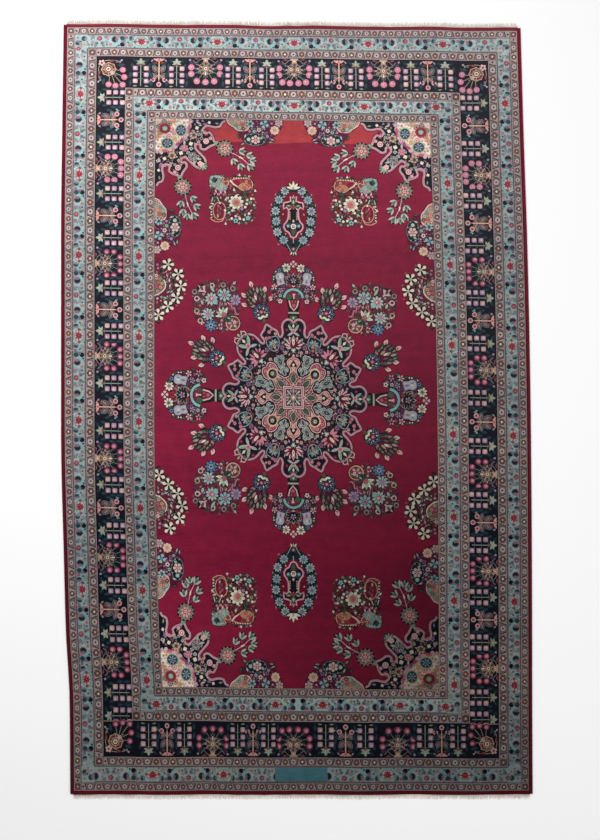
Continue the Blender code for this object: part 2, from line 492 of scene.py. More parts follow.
# What grows between two carnations of a blue stripe: how far along from a carnation, how far out
# from the stripe's middle, in halves of its width, the turn of a leaf, the size, and the yarns.
Sprig = namedtuple("Sprig", "kind along out turn size yarn inner", defaults=[""])
SPRIGS = [Sprig(*row) for row in rows("""
    patch,26,0.6,0,11,mist patch,134,0.0,0,13,mist patch,66,0.1,0,12,aqua
    patch,106,-0.2,0,13,aqua patch,158,0.62,0,11,haze leaf,48,0.5,8,0.76,teal,haze
    ring,50,-0.52,0,11,mist,umber pair,85,0,0,1,teal,mauve leaf,122,0.24,-8,1.06,shade,mauve
    ring,138,-0.46,0,8,blush,plum ring,157,-0.12,0,9,mist,grape ring,186,0.44,0,12,rose,wine
    ring,170,-0.6,0,7,haze,umber ring,66,0.6,0,8,rose,umber ring,104,0.64,0,8,blush,wine
    ring,70,-0.7,0,7.5,petal,umber leaf,172,-0.22,150,0.56,slate,shade dot,120,0.66,0,4.4,wine
    dot,60,-0.14,0,4.6,grape dot,154,-0.5,0,4.6,grape dot,102,-0.62,0,5,teal
    dot,146,0.72,0,5,lilac dot,32,0.84,0,4.4,mauve dot,30,-0.8,0,4,green
    dot,112,-0.84,0,5,mauve dot,66,0.86,0,5,lilac dot,150,0.3,0,4,mauve""")]


BLUE_HALF = 187.5  # half a repeat of the blue stripes, as charted
SHORTEST_HALF, LONGEST_HALF = 120, 230  # that a repeat is stretched to
LEAST_ROOM = 30  # that anything is drawn in


def blue_half(pen, half, depth, first=0, last=math.inf):
    """From a carnation to the middle of the next repeat, along +x, which is half away. Only
    what grows between first and last is drawn."""
    s = half / BLUE_HALF
    line = [(34, 0), (62 * s, depth * 0.16), (98 * s, 0), (130 * s, -depth * 0.2), (187 * s, 0)]
    if last > half and not first:
        pen.stem("slate", curve(line), 2.2)
    for sprig in SPRIGS:
        if not first < sprig.along * s < last - 10:
            continue
        place = pen.at(sprig.along * s, sprig.out * depth, sprig.turn)
        if sprig.kind == "leaf":
            curled_leaf(place, sprig.yarn, sprig.inner, sprig.size)
        elif sprig.kind == "pair":
            leaf_pair(place, depth, sprig.yarn, sprig.inner)
        elif sprig.kind == "ring":
            ringed_flower(place, sprig.yarn, sprig.inner, sprig.size)
        elif sprig.kind == "patch":
            place.star(sprig.yarn, 0, 0, sprig.size, 5, 0.7)
        else:
            place.disc(sprig.yarn, 0, 0, sprig.size, 6)


def blue_run(pen, start, end, width, centres):
    """A blue stripe's flowers along x from start to end, with its outer edge at +y."""
    for side in BOTH:
        pen.fill("haze", strip(start, end, side * (width / 2 - 2.6), 5.2))
        pen.fill("umber", strip(start, end, side * (width / 2 - 0.7), 1.4))
    for i, x in enumerate(centres):
        before = (x - centres[i - 1]) / 2 if i else x - start
        after = (centres[i + 1] - x) / 2 if i < len(centres) - 1 else end - x
        for flip, half in ((-1, before), (1, after)):
            if half > LEAST_ROOM:
                repeat = half if SHORTEST_HALF < half < LONGEST_HALF else BLUE_HALF
                last = half + 1 if half < repeat else math.inf
                blue_half(pen.at(x, 0, 0, flip), repeat, width / 2, 0, last)
            if half > LONGEST_HALF:
                beyond = pen.at(x + flip * 2 * repeat, 0, 0, -flip)
                blue_half(beyond, repeat, width / 2, 2 * repeat - half)
        carnation(pen.at(x))


# The pink balls round a main-border flower: its own x, and the distance in from the outer edge.
Ball = namedtuple("Ball", "x depth")
SIDE_BALLS = [Ball(*b) for b in rows("-54,54 -55,86 -31,114 0,115 31,114 55,86 54,54")]
END_BALLS = [Ball(*b) for b in rows("-66,47 -66,79 -40,114 0,118 40,114 66,79 66,47")]
TWIN_BALLS = [Ball(*b) for b in rows("-70,47 -70,79 -55,113 -20,117 20,117 55,113 70,79 70,47")]
CORNER_BALLS = rows("-53,10 -60,-25 -53,-62 -21,-67 10,-61")
TREE_SHARE = {"left": 0.268, "right": 0.268, "head": 0.31, "foot": 0.31}
CRAMPED = (0.4, 0.705)  # where the two trees stand before the foot, with no shrub between them
PALER_FROM = 900  # up the rug, where a paler batch of pink wool was used


def pink_ball(pen, x, y, r=13):
    paler = pen.level(x, y) > PALER_FROM
    rim, ball, light = ("berry", "pink", "dusk") if paler else ("plum", "berry", "pink")
    pen.disc(rim, x, y, r * 1.14, 10)
    pen.disc(ball, x, y, r, 9)
    pen.disc(light, x - 1, y + 1, r * 0.66, 8)
    pen.disc("petal", x - 2, y + 2, r * 0.3, 6)


def heart_rings(pen, r):
    """The ringed heart of a main-border flower."""
    for yarn, share in rows("sand,1 maroon,0.8 ivory,0.56 clay,0.3"):
        pen.disc(yarn, 0, 0, r * share, 9)


def dark_leaves(pen, width, text):
    """Leaves that hardly show on the dark ground: where each pair is, how deep, and its turn."""
    for x, depth, turn in rows(text):
        for side in BOTH:
            pen.leaf("shade", side * x, width * (0.5 - depth), side * turn, 34, 20)
            pen.leaf("teal", side * x, width * (0.5 - depth), side * turn, 26, 9)


HOOK = ((8, 6), (28, 12), (44, 26), (58, 12))  # at a main-border flower's foot


def border_palmette(pen, width, balls):
    """The large flower of the main border. It hangs from the outer edge, which is +y."""
    top = width / 2
    grow = width / SIDE_WIDTH
    inner = top - 64 * grow
    dark_leaves(pen, width, "36,0.22,-70 52,0.3,150 24,0.8,100 34,0.62,-120 70,0.1,160")
    for turn in (-64, -40, -14, 14, 40, 64):
        pen.leaf("ink", 0, inner + 12, 180 + turn, 42, 12)
        pen.leaf("sage" if abs(turn) > 20 else "stone", 0, inner + 12, 180 + turn, 38, 5)
    for ball in balls:
        pen.stem("sage", [(ball.x * 0.2, inner + 6), (ball.x * 0.9, top - ball.depth * 0.97)], 2.2)
        pink_ball(pen, ball.x, top - ball.depth, 14 if width > SIDE_WIDTH else 13)
    for side in BOTH:
        pen.stem("stone", curve([(side * x, top - y) for x, y in HOOK]), 2.6)
        pen.leaf("maroon", side * 26, top - 7, side * -75, 30, 11)
        pen.leaf("mauve", side * 34, top - 9, side * -75, 18, 5)
        pen.disc("lilac", side * 72, top - 12, 5.5, 6)
        pen.leaf("plum", side * 58, top - 32, side * -10, 18, 9)
        pen.disc("mauve", side * 40, top - 34, 4.5, 5)
    centre = pen.at(0, top - 46 * grow)
    centre.chart("star ink,0,0,38,9,0.88,20 stone,0,0,34,9,0.88,20 umber,0,0,30,9,0.88,20")
    for k in range(8):
        turned = centre.at(0, 0, 45 * k)
        turned.leaf("stone" if k % 2 else "sand", 4, 13, -38, 18, 8)
        turned.leaf("clay" if k % 2 else "mauve", -5, 15, 30, 13, 5)
        turned.disc("ink", 0, 26, 3.4, 4)
    centre.chart("leaf stone,24,-8,-130,20,7 stone,22,12,-60,18,7 disc peach,36,0,4.5,6", BOTH)
    if balls is TWIN_BALLS:
        for side in BOTH:
            heart_rings(centre.at(side * 15, 1), 13.5)
        centre.leaf("blush", 0, -34, 0, 22, 10)
    else:
        heart_rings(centre.at(0, 1), 15)
        centre.leaf("ivory", 0, -34, 0, 22, 8)
    foot = pen.at(0, top)
    foot.chart("""
        fill sand,-20,-1,-9,-14,-12,-22,12,-22,9,-14,20,-1
        star peach,0,-13,10,5,0.6 disc ivory,0,-13,3.4,5""")


SQUARE = rows("-1,-0.7 -0.7,-1 0.7,-1 1,-0.7 1,0.7 0.7,1 -0.7,1 -1,0.7")


def square_blossom(pen, x, y, size, yarn, light):
    for name, share, lean in (("plum", 1.14, 0), (yarn, 1, 0), (light, 0.62, 1), ("ivory", 0.26, 2)):
        s = size / 2 * share
        pen.fill(name, [(x - lean + px * s, y + lean + py * s) for px, py in SQUARE])


def border_tree(pen, width, petals):
    """A stem with square blossoms on both sides and a pale flower at its outer end, +y."""
    top = width / 2
    dark_leaves(pen, width, "10,0.18,-60 40,0.2,170 44,0.5,190 46,0.75,180")
    pen.stem("mint", [(0, -top + 10), (0, top - 34)], 3)
    for side in BOTH:
        pen.leaf("sage", side * 36, 8 - top, side * 84, 22, 8)
        pen.leaf("rust", side * 4, top - 38, side * 80, 16, 6)
    for i, depth in enumerate((54, 85, 116) if width > SIDE_WIDTH else (56, 86, 117)):
        y = top - depth
        for side in BOTH:
            pen.stem("slate", [(0, y + 14), (side * 18, y + 8)], 1.8)
            yarn, light = rows("lilac,petal blush,petal lilac,blush")[(i + side) % 3]
            square_blossom(pen, side * 24.5, y, 21, yarn, light)
    flower = pen.at(0, top - 22)
    for yarn, grow in (("ink", 1.2), (petals, 1)):
        for turn in (-112, -66, 66, 112):
            flower.leaf(yarn, 0, -5, turn, 23 * grow, 12 * grow)
        flower.leaf(yarn, 0, -9, 0, 27 * grow, 16 * grow)
    flower.chart("leaf sand,0,-5,-66,16,5 sand,0,-5,66,16,5 mist,0,-10,0,24,6")
    flower.disc("gold" if petals == "sage" else "pink", 0, -7, 4.5, 6)


def border_shrub(pen, width):
    """The small tree between two of the others. Its pink cap is at its outer end."""
    top = width / 2
    grow = width / SIDE_WIDTH
    dark_leaves(pen, width, "48,0.35,170 52,0.6,190 14,0.3,-40")
    for depth, lean in ((62, 40), (84, 66)):
        for side in BOTH:
            leaf = pen.at(side * 3, top - depth * grow, side * -lean)
            leaf.chart("leaf haze,0,0,0,43,28 umber,0,2,0,38,22 stone,0,6,0,30,11 rust,0,3,0,22,4")
    for x, depth in ((-27, 93), (27, 93), (0, 112)):
        y = top - depth * grow
        pen.stem("peach", [(0, y + 26), (x * 0.8, y + 6)], 2.6)
        for yarn, r in rows("ink,13.5 petal,11.5 rose,7.5 umber,3.6"):
            pen.disc(yarn, x, y, r, 8)
    for side in BOTH:
        pen.leaf("rust", side * 6, top - 30, side * -70, 20, 8)
        pen.leaf("lilac", side * 36, top - 22, side * 40, 17, 8)
        pen.leaf("sage", side * 45, 22 - top, side * 20, 20, 9)
        pen.leaf("mist", side * 44, 30 - top, side * -40, 15, 7)
    pen.stem("apricot", [(0, top - 16), (0, top - 92 * grow)], 5)
    for yarn, grow in (("ink", 1.16), ("peach", 1)):
        for turn in (-66, -28, 28, 66):
            pen.leaf(yarn, 0, top - 18, turn, (28 if abs(turn) > 40 else 17) * grow, 12 * grow)
    for turn in (-66, 66):
        pen.leaf("petal", 0, top - 17, turn, 20, 5)
    pen.star("pink", 0, top - 14, 8, 5, 0.6)
    pen.disc("rust", 0, top - 14, 3, 5)


def main_run(pen, run, width, places):
    """The main border along x, with +y outwards. The first and last places are the corners."""
    cramped = {"left": 0, "right": len(places) - 2}.get(run.name)
    for i, x in enumerate(places[1:-1]):
        balls = SIDE_BALLS if run.lengthwise else TWIN_BALLS if i == 1 else END_BALLS
        border_palmette(pen.at(x), width, balls)
    for i, (a, b) in enumerate(zip(places, places[1:])):
        shares = [TREE_SHARE[run.name], 1 - TREE_SHARE[run.name]]
        if i == cramped:
            shares = [1 - s for s in CRAMPED] if run.name == "left" else CRAMPED
        else:
            border_shrub(pen.at((a + b) / 2), width)
        for k, share in enumerate(shares):
            border_tree(pen.at(a + (b - a) * share), width, "mint" if (i + k) % 3 else "sage")


def corner_palmette(pen):
    """The diagonal flower in a corner of the main border. Its pen stands at the block's
    middle, with +x and +y towards the rug's corner."""
    for x, y in CORNER_BALLS:
        pen.stem("sand", [(2, 4), (x * 0.9, y * 0.9)], 2.2)
        pink_ball(pen, x, y)
    for flip in (pen, pen.at(0, 0, 90, 1, -1)):
        flip.chart("""
            leaf teal,-30,30,80,34,14 vine sand,2.6,44,46,22,54,-8,56,-36,50 leaf maroon,10,50,80,30,13
            clay,6,50,80,20,6 mauve,-20,44,70,22,9 sage,-38,40,20,18,8 disc blush,-48,56,4.5,6""")
    body = pen.at(10, 12, -45)
    body.chart("leaf ink,10,-20,150,36,13 sage,10,-20,150,32,7", BOTH)
    body.chart("star ink,0,0,39,8,0.86 sand,0,0,35.5,8,0.86 maroon,0,0,31,8,0.86")
    for k in range(8):
        body.leaf("sand" if k % 2 else "clay", *polar(17, 45 * k), -45 * k, 14, 6)
    body.star("blush", 0, -22, 12, 5, 0.5, 180)
    heart_rings(body.at(0, 2), 19)
    body.chart("leaf sand,14,24,60,26,9", BOTH)
    body.chart("star ink,0,44,19,5,0.7 petal,0,44,16,5,0.6 disc rust,0,44,6,6")


def blue_corner(pen, turned):
    """Leaves that turn the corner of a blue stripe, in a pen with +x and +y towards the
    rug's corner."""
    curled_leaf(pen.at(-10, 14, 10), "teal", "haze", 0.9)
    curled_leaf(pen.at(15, -10, -80), "teal", "mauve", 0.9)
    for x, y, yarn in rows("-14,-14,rose 16,18,mauve 2,0,green -26,-2,mauve 0,-26,rose"):
        pen.disc(yarn, x, y, 4.6, 6)
    ringed_flower(pen.at(20 if turned else 2, 18 if turned else -12), "mist", "umber", 10)


def draw_borders(pen):
    frame_patch(pen, "madder", *HALF)
    corner_x, corner_y = FIELD
    blocks = []
    for stripe in STRIPES:
        blocks.append((stripe, corner_x, corner_y))
        corner_x += stripe.side
        corner_y += stripe.end
    for stripe, x, y in reversed(blocks):
        frame_patch(pen, GROUNDS[stripe.kind], x + stripe.side, y + stripe.end)
    for level, (stripe, x, y) in enumerate(blocks):
        middle_x, middle_y = x + stripe.side / 2, y + stripe.end / 2
        for run in RUNS:
            width, away, reach, end = stripe.end, middle_y, middle_x, x
            if run.lengthwise:
                width, away, reach, end = stripe.side, middle_x, middle_y, y
            along = pen.at(*polar(away, -run.turn), run.turn)
            if stripe.kind == "guard":
                guard_run(along, 2 * end, width, level, SIDE_REPEAT if run.lengthwise else END_REPEAT)
            elif stripe.kind == "blue":
                table = INNER_CARNATIONS if level < MAIN else OUTER_CARNATIONS
                places = sorted(run.sign * p for p in getattr(table, run.name))
                if level < MAIN and not run.lengthwise:
                    along.fill("dew", strip(-end, end, 0, width))
                blue_run(along, -end, end, width, places)
            elif stripe.kind == "main":
                places = [-reach, *sorted(run.sign * p for p in getattr(PALMETTES, run.name)), reach]
                main_run(along, run, width, places)
        for sx in BOTH:
            for sy in BOTH:
                corner = pen.at(sx * middle_x, sy * middle_y, 0, sx, sy)
                if stripe.kind == "guard":
                    guard_corner(corner, stripe.side, stripe.end)
                elif stripe.kind == "main":
                    frame_patch(corner, "night", middle_x - x, middle_y - y)
                    if sy < 0:
                        corner.fill("sand", strip(x - middle_x, middle_x - x, y - middle_y + 1.5, 3))
                    corner_palmette(corner)
                elif stripe.kind == "blue":
                    blue_corner(corner, level < MAIN)
                    if level < MAIN:
                        carnation(corner.at(-38, 2))
        if stripe.kind == "blue" and level > MAIN:
            start, end = PANEL
            pen.fill("slate", strip(start, end, -middle_y, stripe.end - 4))
            pen.fill("lake", strip(start + 3, end - 3, -middle_y, stripe.end - 10))
    trim(pen.patches, 0, *HALF)


# ---- the field
# One eighth of the medallion's scrolled edge, from the top to the diagonal, on a circle of 1.
MEDALLION = (320, 351)
MEDALLION_RADIUS = 333
MEDALLION_EDGE = rows("""
    0.0,0.955 0.03,0.99 0.09,1.0 0.145,0.96 0.162,0.9 0.15,0.83 0.172,0.775 0.21,0.785 0.235,0.85 0.3,0.88
    0.385,0.93 0.415,0.86 0.462,0.79 0.42,0.74 0.41,0.695 0.45,0.685 0.51,0.745 0.58,0.79 0.66,0.795
    0.73,0.765""")


def medallion_edge():
    """The whole edge, clockwise from the top."""
    eighth = [*MEDALLION_EDGE, *[(y, x) for x, y in reversed(MEDALLION_EDGE)]][:-1]
    points = []
    for turn in range(0, 360, 90):
        cos, sin = math.cos(math.radians(turn)), math.sin(math.radians(turn))
        for x, y in eighth:
            points.append(((x * cos + y * sin) * MEDALLION_RADIUS, (y * cos - x * sin) * MEDALLION_RADIUS))
    return curve(points, 2, True)


def whole(half):
    """A smooth closed outline from the right half of it, given from its top to its foot."""
    return curve(mirrored(half), 2, True)


def oval(wide, tall, sides, x=0, y=0):
    """An oval outline of the given half sizes round a place."""
    return [(wide * px + x, tall * py + y) for px, py in lobes(1, sides)]


def contour(pen, shape, layers):
    """A shape in nested layers, charted as a yarn and how far inside the shape's line it starts."""
    for yarn, inset in rows(layers):
        pen.fill(yarn, offset(shape, -inset, True))


def medallion(pen):
    round_pen = pen.at(0, 0, 0, MEDALLION[0] / MEDALLION_RADIUS, MEDALLION[1] / MEDALLION_RADIUS)
    contour(round_pen, medallion_edge(), "ink,-8 dusk,-5 blush,-2 dusk,1 mauve,4 night,6")
    outside = lobes(252, 24)
    round_pen.fill("ink", lobes(232, 24))
    meadow(round_pen, outside, 19, 3, "rose blush mauve petal plum lilac", "wine ink ivory")
    arms = [round_pen.at(0, 0, 45 * k) for k in range(8)]
    for k, arm in enumerate(arms):
        out = 22 * (k % 2)
        lobe_flower(arm.at(0, 288 + out, 0, 1 + 0.3 * (k % 2), 1 + 0.24 * (k % 2)))
        if k % 2:
            for side in BOTH:
                curl = curve([(side * x, y) for x, y in ((30, 348), (33, 360), (20, 367), (9, 358))], 2)
                arm.stem("ink", curl, 9)
                arm.stem("petal", curl, 4.4)
                arm.leaf("sand", side * 14, 364, side * -40, 15, 7)
            arm.chart("leaf ink,0,354,0,28,20 sand,0,357,0,21,12")
        tall_fan(arm.at(0, 222 + 0.6 * out), k % 2)
        for side in BOTH:
            half = arm.at(0, 0, 0, side)
            small_flower(half, 53, 212 + out * 0.8, 13, "mauve", "grape")
            small_flower(half, 78, 196 + out * 0.4, 10, "berry", "blush")
            half.leaf("shade", 26, 196, -50, 26, 17)
            half.leaf("mint", 38, 238 + out, -20, 17, 7)
            small_flower(half, 36, 190, 9, "blush", "rose")
        between = arm.at(0, 0, -22.5)
        shield_flower(between.at(0, 243))
        for x, y, r in rows("0,300,9 -23,280,8 25,282,8 -8,277,7 14,306,6"):
            small_flower(between, x, y, r, "blush" if x > 0 else "pink", "rust", "plum")
    for arm in arms:
        grey_lobe(arm.at(0, 0, 22.5))
    shapes = [arm_outline(k % 2) for k in range(8)]
    middle = lobes(93, 24)
    for yarn, inset in rows("ink,-7 petal,-1 maroon,3 apricot,6.4 fawn,9.4"):
        round_pen.fill(yarn, offset(middle, -inset, True))
        for arm, shape in zip(arms, shapes):
            arm.fill(yarn, offset(shape, -inset, True))
    for k, arm in enumerate(arms):
        if k % 2:
            square_head(arm)
        else:
            pointed_head(arm)
        arm.chart("""
            leaf maroon,21,44,-8,46,12 petal,21,52,-8,28,4 ink,15,84,-14,26,9 petal,15,88,-14,18,4
            apricot,11,100,-4,22,5""", BOTH)
        arm.chart("leaf ink,0,52,0,60,40 petal,0,57,0,50,31 umber,0,60,0,44,25 green,0,64,0,34,17")
        between = arm.at(0, 0, 22.5)
        between.chart("leaf blush,0,70,0,19,8 disc rust,0,66,6,5")
    centre_star(round_pen)


def lobe_flower(pen):
    """Pale leaves round a small flower, in the head of a lobe."""
    pen.chart("""
        leaf ink,5,-8,-34,42,20 mint,5,-6,-34,36,13 sage,7,0,-34,22,5 mist,4,-12,-118,28,11
        lilac,9,-18,-104,15,5 flower wine/rose/plum,31,0,7 disc green,13,27,6,5""", BOTH)
    pen.chart("star blush,0,-6,13,5,0.6 disc rose,0,-6,6,6 leaf ivory,0,8,0,20,10 disc rose,0,30,4,5")


def tall_fan(pen, kind):
    """The palmette that stands over each arm of the star."""
    turns = [108 - 27 * k for k in range(9)]
    for turn in turns:
        pen.leaf("ink", 0, -2, turn, 51, 22)
    for k, turn in enumerate(turns):
        pen.leaf("pink" if kind else "petal", 0, -2, turn, 46, 15)
        pen.leaf("plum" if k % 2 else "maroon", 0, 6 if kind else 2, turn, 34, 10)
    pen.chart("disc plum,0,2,17,9 leaf ivory,0,-2,0,32,13")
    pen.leaf("gold" if kind else "rose", 0, 4, 0, 18, 5)
    pen.chart("leaf ink,6,-12,118,36,18 shade,8,-14,118,30,12", BOTH)
    pen.chart("star sky,0,-21,13,3,0.45,180 disc ivory,0,-21,5,5")


def shield_flower(pen):
    """A grey-blue palmette in side view."""
    half = rows("0,34 20,31 29,26 31,6 25,-13 12,-27 0,-31")
    contour(pen, mirrored(half), "ink,-5 sky,-0.5 night,2.6")
    for turn in (-104, -70, -35, 0, 35, 70, 104):
        pen.leaf("haze" if abs(turn) == 35 else "slate", 0, -6, turn, 32, 11)
    pen.chart("""
        leaf sky,0,0,-70,24,5 mist,0,0,-35,24,5 sky,0,0,0,24,5 mist,0,0,35,24,5 sky,0,0,70,24,5
        ink,0,-24,0,36,20 sand,0,-22,0,32,13 mauve,0,-15,0,18,6 disc rose,0,-24,5,5""")


def grey_lobe(pen):
    """A pale lobed leaf between two arms of the star."""
    half = rows("""
        0,192
        10,186 19,189 25,177 21,165 14,158 17,147 11,138 9,131 19,130 25,120 19,111 13,112 7,103 0,93""")
    contour(pen, mirrored(half), "ink,-6 dew,-1 umber,2.6 mist,5.2")
    drops = rows("umber,141,49,31 mist,144,43,25 umber,147,37,19 teal,151,29,13 mist,159,11,4")
    for yarn, y, long, wide in drops:
        pen.leaf(yarn, 0, y, 0, long, wide)
    pen.chart("leaf umber,0,93,0,43,25 mist,0,96,0,37,19 umber,0,101,0,28,12 teal,0,105,0,20,6")
    pen.chart("leaf rose,19,138,-12,11,6 taupe,13,172,-30,14,6", BOTH)


def arm_outline(kind):
    if kind:
        half = rows("0,182 16,188 30,179 38,160 34,142 22,130 20,114 27,98 25,80 0,50")
    else:
        half = rows("0,186 7,170 22,163 31,148 24,132 14,120 16,104 25,87 24,70 0,50")
    return whole(half)


def pointed_head(pen):
    pen.chart("""
        leaf rose,0,152,0,26,15 gold,0,158,0,16,6
        fill ink,0,158,9,148,17,134,10,128,0,134,-10,128,-17,134,-9,148
        disc ivory,0,139,6,6 sand,0,126,5,5""")
    pen.chart("leaf blush,25,141,12,15,8 rose,9,102,-8,18,7", BOTH)
    pen.chart("leaf blush,0,108,0,14,7 rust,0,92,0,12,7")


def square_head(pen):
    for x, y, yarn in rows("0,172,rose -16,171,pink 16,171,blush -25,158,rose 25,158,pink"):
        small_flower(pen, x, y, 9, yarn, "cherry", "maroon")
    pen.chart("""
        disc apricot,0,140,26,10 cream,-6,148,18,8 ink,0,139,21,10 umber,5,136,14,7 mist,0,141,9,8
        mauve,-2,142,4,5""")
    pen.chart("leaf gold,14,108,24,18,8 blush,30,128,-10,17,8", BOTH)
    pen.leaf("rose", 0, 98, 0, 20, 9)


def centre_star(pen):
    """The small square with a point on each side, and a flower in it."""
    layers = rows("ink,52,71 petal,49,66 cherry,43.5,53 petal,41,47 umber,36.5,36.5")
    for yarn, half, tip in layers:
        outline = []
        for k in range(4):
            a = math.radians(90 * k)
            for x, y in ((-half, half), (-8, half), (0, tip), (8, half)):
                outline.append((x * math.cos(a) + y * math.sin(a), y * math.cos(a) - x * math.sin(a)))
        pen.fill(yarn, outline)
    for k in range(8):
        turned = pen.at(0, 0, 45 * k)
        turned.leaf("ink" if k % 2 else "umber", 0, 10, 0, 36, 17)
        turned.leaf("ivory" if k % 2 else "blush", 0, 16, 0, 28, 9)
        turned.leaf("mauve" if k % 2 else "blush", 0, 20, 0, 16, 4)
        turned.at(0, 0, 22.5).leaf("mist", 0, 22, 0, 17, 6)
    pen.chart("disc taupe,0,0,17,10 star sand,0,0,14,6,0.6 disc ivory,0,0,6,6")


def pendant(pen):
    """A crescent and shield on a neck, crowned by a black palmette and flowers. It stands on
    the medallion's edge and grows towards +y."""
    cloud = whole(rows("0,236 34,254 60,244 80,220 94,184 98,150 96,112 76,84 50,88 40,116 0,140"))
    pen.fill("plum", cloud)
    meadow(pen, cloud, 19, 21, "mauve green plum lilac", "wine grape night")
    pen.fill("wine", mirrored(rows("0,240 24,228 36,200 30,166 0,156")))
    pen.chart("leaf mauve,20,206,-20,24,8 rust,10,220,12,22,8", BOTH)
    pen.chart("""
        fill ink,-27,0,27,0,26,36,-25,36 green,-18,8,18,8,15,28,-15,28 mint,-7,18,0,10,7,18,0,27
        mint,-23,38,25,38,25,44,5,46,-23,44 ink,-34,114,34,114,27,66,21,46,-20,46,-26,66
        stem petal,6,-20,98,-13,70,2,52,16,70,23,98 fill maroon,-16,99,-10,74,2,58,12,74,19,99
        disc rose,2,75,8,6 leaf rose,-5,84,0,18,5 disc green,-20,112,13,8 leaf rose,9,84,0,18,5
        disc umber,20,112,13,8 fill petal,-6,128,10,128,5,118,5,104,-1,104,-1,118""")
    arch = curve(rows("-43,110 -35,130 -20,143 0,148 20,143 35,130 43,110"))
    pen.stem("ink", arch, 18)
    pen.stem("aqua", arch, 11)
    pen.chart("leaf rust,-24,158,-60,18,11 umber,24,158,60,18,11 petal,0,157,0,18,17")
    for k in range(9):
        turn = 104 - 26 * k
        pen.leaf("mint", 0, 182, turn, 42 if k % 2 == 0 else 38, 15)
        pen.leaf("ink", 0, 182, turn, 36, 14)
    pen.chart("""
        disc ink,0,184,20,9 blossom lilac/mauve,0,188,13,5 ivory/green,-33,247,20,8,20,0.5
        ivory/rose,34,245,19,8,0,0.5 petal/rust,0,264,15,4,0,1""")
    for side in BOTH:
        half = pen.at(0, 0, 0, side)
        wing_flower(half.at(60, 194, -8))
        half.chart("""
            blossom lilac/mauve,58,143,12,5,36 petal/rose,86,159,13,5 pink/plum,88,116,13,5,20
            flower petal/umber,60,93,12 mint/teal,60,119,9 steel/night,64,235,10 disc grape,45,164,9,7""")
        for x, y, turn in rows("92,172,-6 88,196,-24 80,214,-30 98,132,-30 78,96,-60 46,236,-40"):
            half.leaf("ink", x, y, turn, 24, 13)
            half.leaf("green", x, y, turn, 21, 8)
        half.chart("disc ivory,90,193,3.4,5 ivory,89,204,3.4,5 ivory,80,228,3.4,5")


def wing_flower(pen):
    """A pale lilac palmette in side view."""
    half = rows("0,31 15,27 21,10 16,-4 19,-20 12,-30 0,-26")
    contour(pen, whole(half), "ink,-4 lilac,0 mist,5")
    pen.chart("leaf lilac,0,-24,0,30,15 mauve,0,-20,0,19,7 steel,6,2,-10,23,7 ivory,0,2,8,17,7")


WREATH_SPOTS = rows("38,116 66,74 81,22 78,-26 73,-76 44,-112")
WREATH_SHIELD = rows("""
    0,96 4,84 16,90 13,70 28,64 43,62 47,46 45,30 32,38 23,28 24,6 25,-10 31,-25 43,-40 45,-54 36,-70 22,-78
    12,-98 0,-103""")


def wreath(pen):
    """A ring of blue flowers round a scrolled cartouche."""
    ring = oval(101, 150, 28, 0, -4)
    pen.fill("ink", offset(ring, 2, True))
    pen.fill("shade", ring)
    pen.fill("madder", oval(60, 112, 24))
    for side in BOTH:
        half = pen.at(0, 0, 0, side)
        for (x0, y0), (x1, y1) in zip(WREATH_SPOTS, WREATH_SPOTS[1:]):
            small_flower(half, (x0 + x1) / 2 + 13, (y0 + y1) / 2 + 5, 6, "green", "teal", "ink")
            small_flower(half, (x0 + x1) / 2 - 14, (y0 + y1) / 2 - 5, 6, "mauve", "grape", "night")
        for k, (x, y) in enumerate(WREATH_SPOTS):
            blossom(half, x, y, 20, "sky" if k % 2 else "mist", "mauve", "night", 9, 12 * k, 0.44)
            half.star("steel", x, y, 9, 5, 0.6)
            half.disc("mauve", x, y, 4, 5)
        for x, y, turn in rows("99,44,0 101,-4,4 94,-58,-12 62,-136,-50 84,92,30"):
            half.leaf("sage", x, y, turn - 10, 14, 6)
        for x, y in ((50, 2), (46, 84), (38, -88)):
            half.leaf("petal", x, y, 30, 11, 6)
            half.disc("plum", x - 4, y - 9, 5, 5)
    shape = mirrored(WREATH_SHIELD)
    contour(pen, shape, "plum,-5 pink,-2.5 petal,1.5 maroon,4.5 ink,6.5")
    pen.chart("leaf green,0,48,0,34,23 mist,0,54,0,20,11")
    pen.chart("""
        leaf green,4,43,-82,32,15 sand,12,45,-82,20,7 petal,10,36,-130,15,7 disc sand,16,15,4,5
        sand,16,5,4,5 sand,16,-5,4,5 sand,16,-15,4,5 leaf teal,6,-36,-104,34,20 disc steel,24,-47,8.5,8
        mist,24,-47,5.5,6""", BOTH)
    pen.chart("""
        blossom rose/crimson/maroon,0,40,10,4 fill night,-10,18,10,18,11,0,10,-16,-10,-16,-11,0
        leaf petal,0,-32,0,16,12 fill umber,-15,-64,15,-64,9,-82,0,-97,-9,-82 leaf green,0,-90,0,26,12
        disc ivory,0,-49,13,9 umber,0,-50,7,7 petal,0,-49,3.4,5""")
    for turn in (-74, -37, 0, 37, 74):
        pen.leaf("ink", 0, 122, turn, 42, 19)
    for turn in (-74, -37, 0, 37, 74):
        pen.leaf("ivory", 0, 125, turn, 34 if turn else 38, 12)
    pen.chart("leaf sand,0,121,0,18,12 stem petal,3,0,-103,0,-134")
    for turn in (-100, -50, 0, 50, 100):
        pen.leaf("ink", 0, -154, turn, 29, 17)
        pen.leaf("teal" if turn else "night", 0, -154, turn, 23, 11)
    pen.chart("stem mint,3,4,-176,14,-160,24,-140,30,-132", BOTH)
    pen.chart("flower mauve/petal,0,-153,10 leaf ink,0,-162,180,28,22")
    pen.chart("leaf ivory,5,-166,-150,18,7", BOTH)
    pen.leaf("mint", 0, -164, 180, 22, 7)


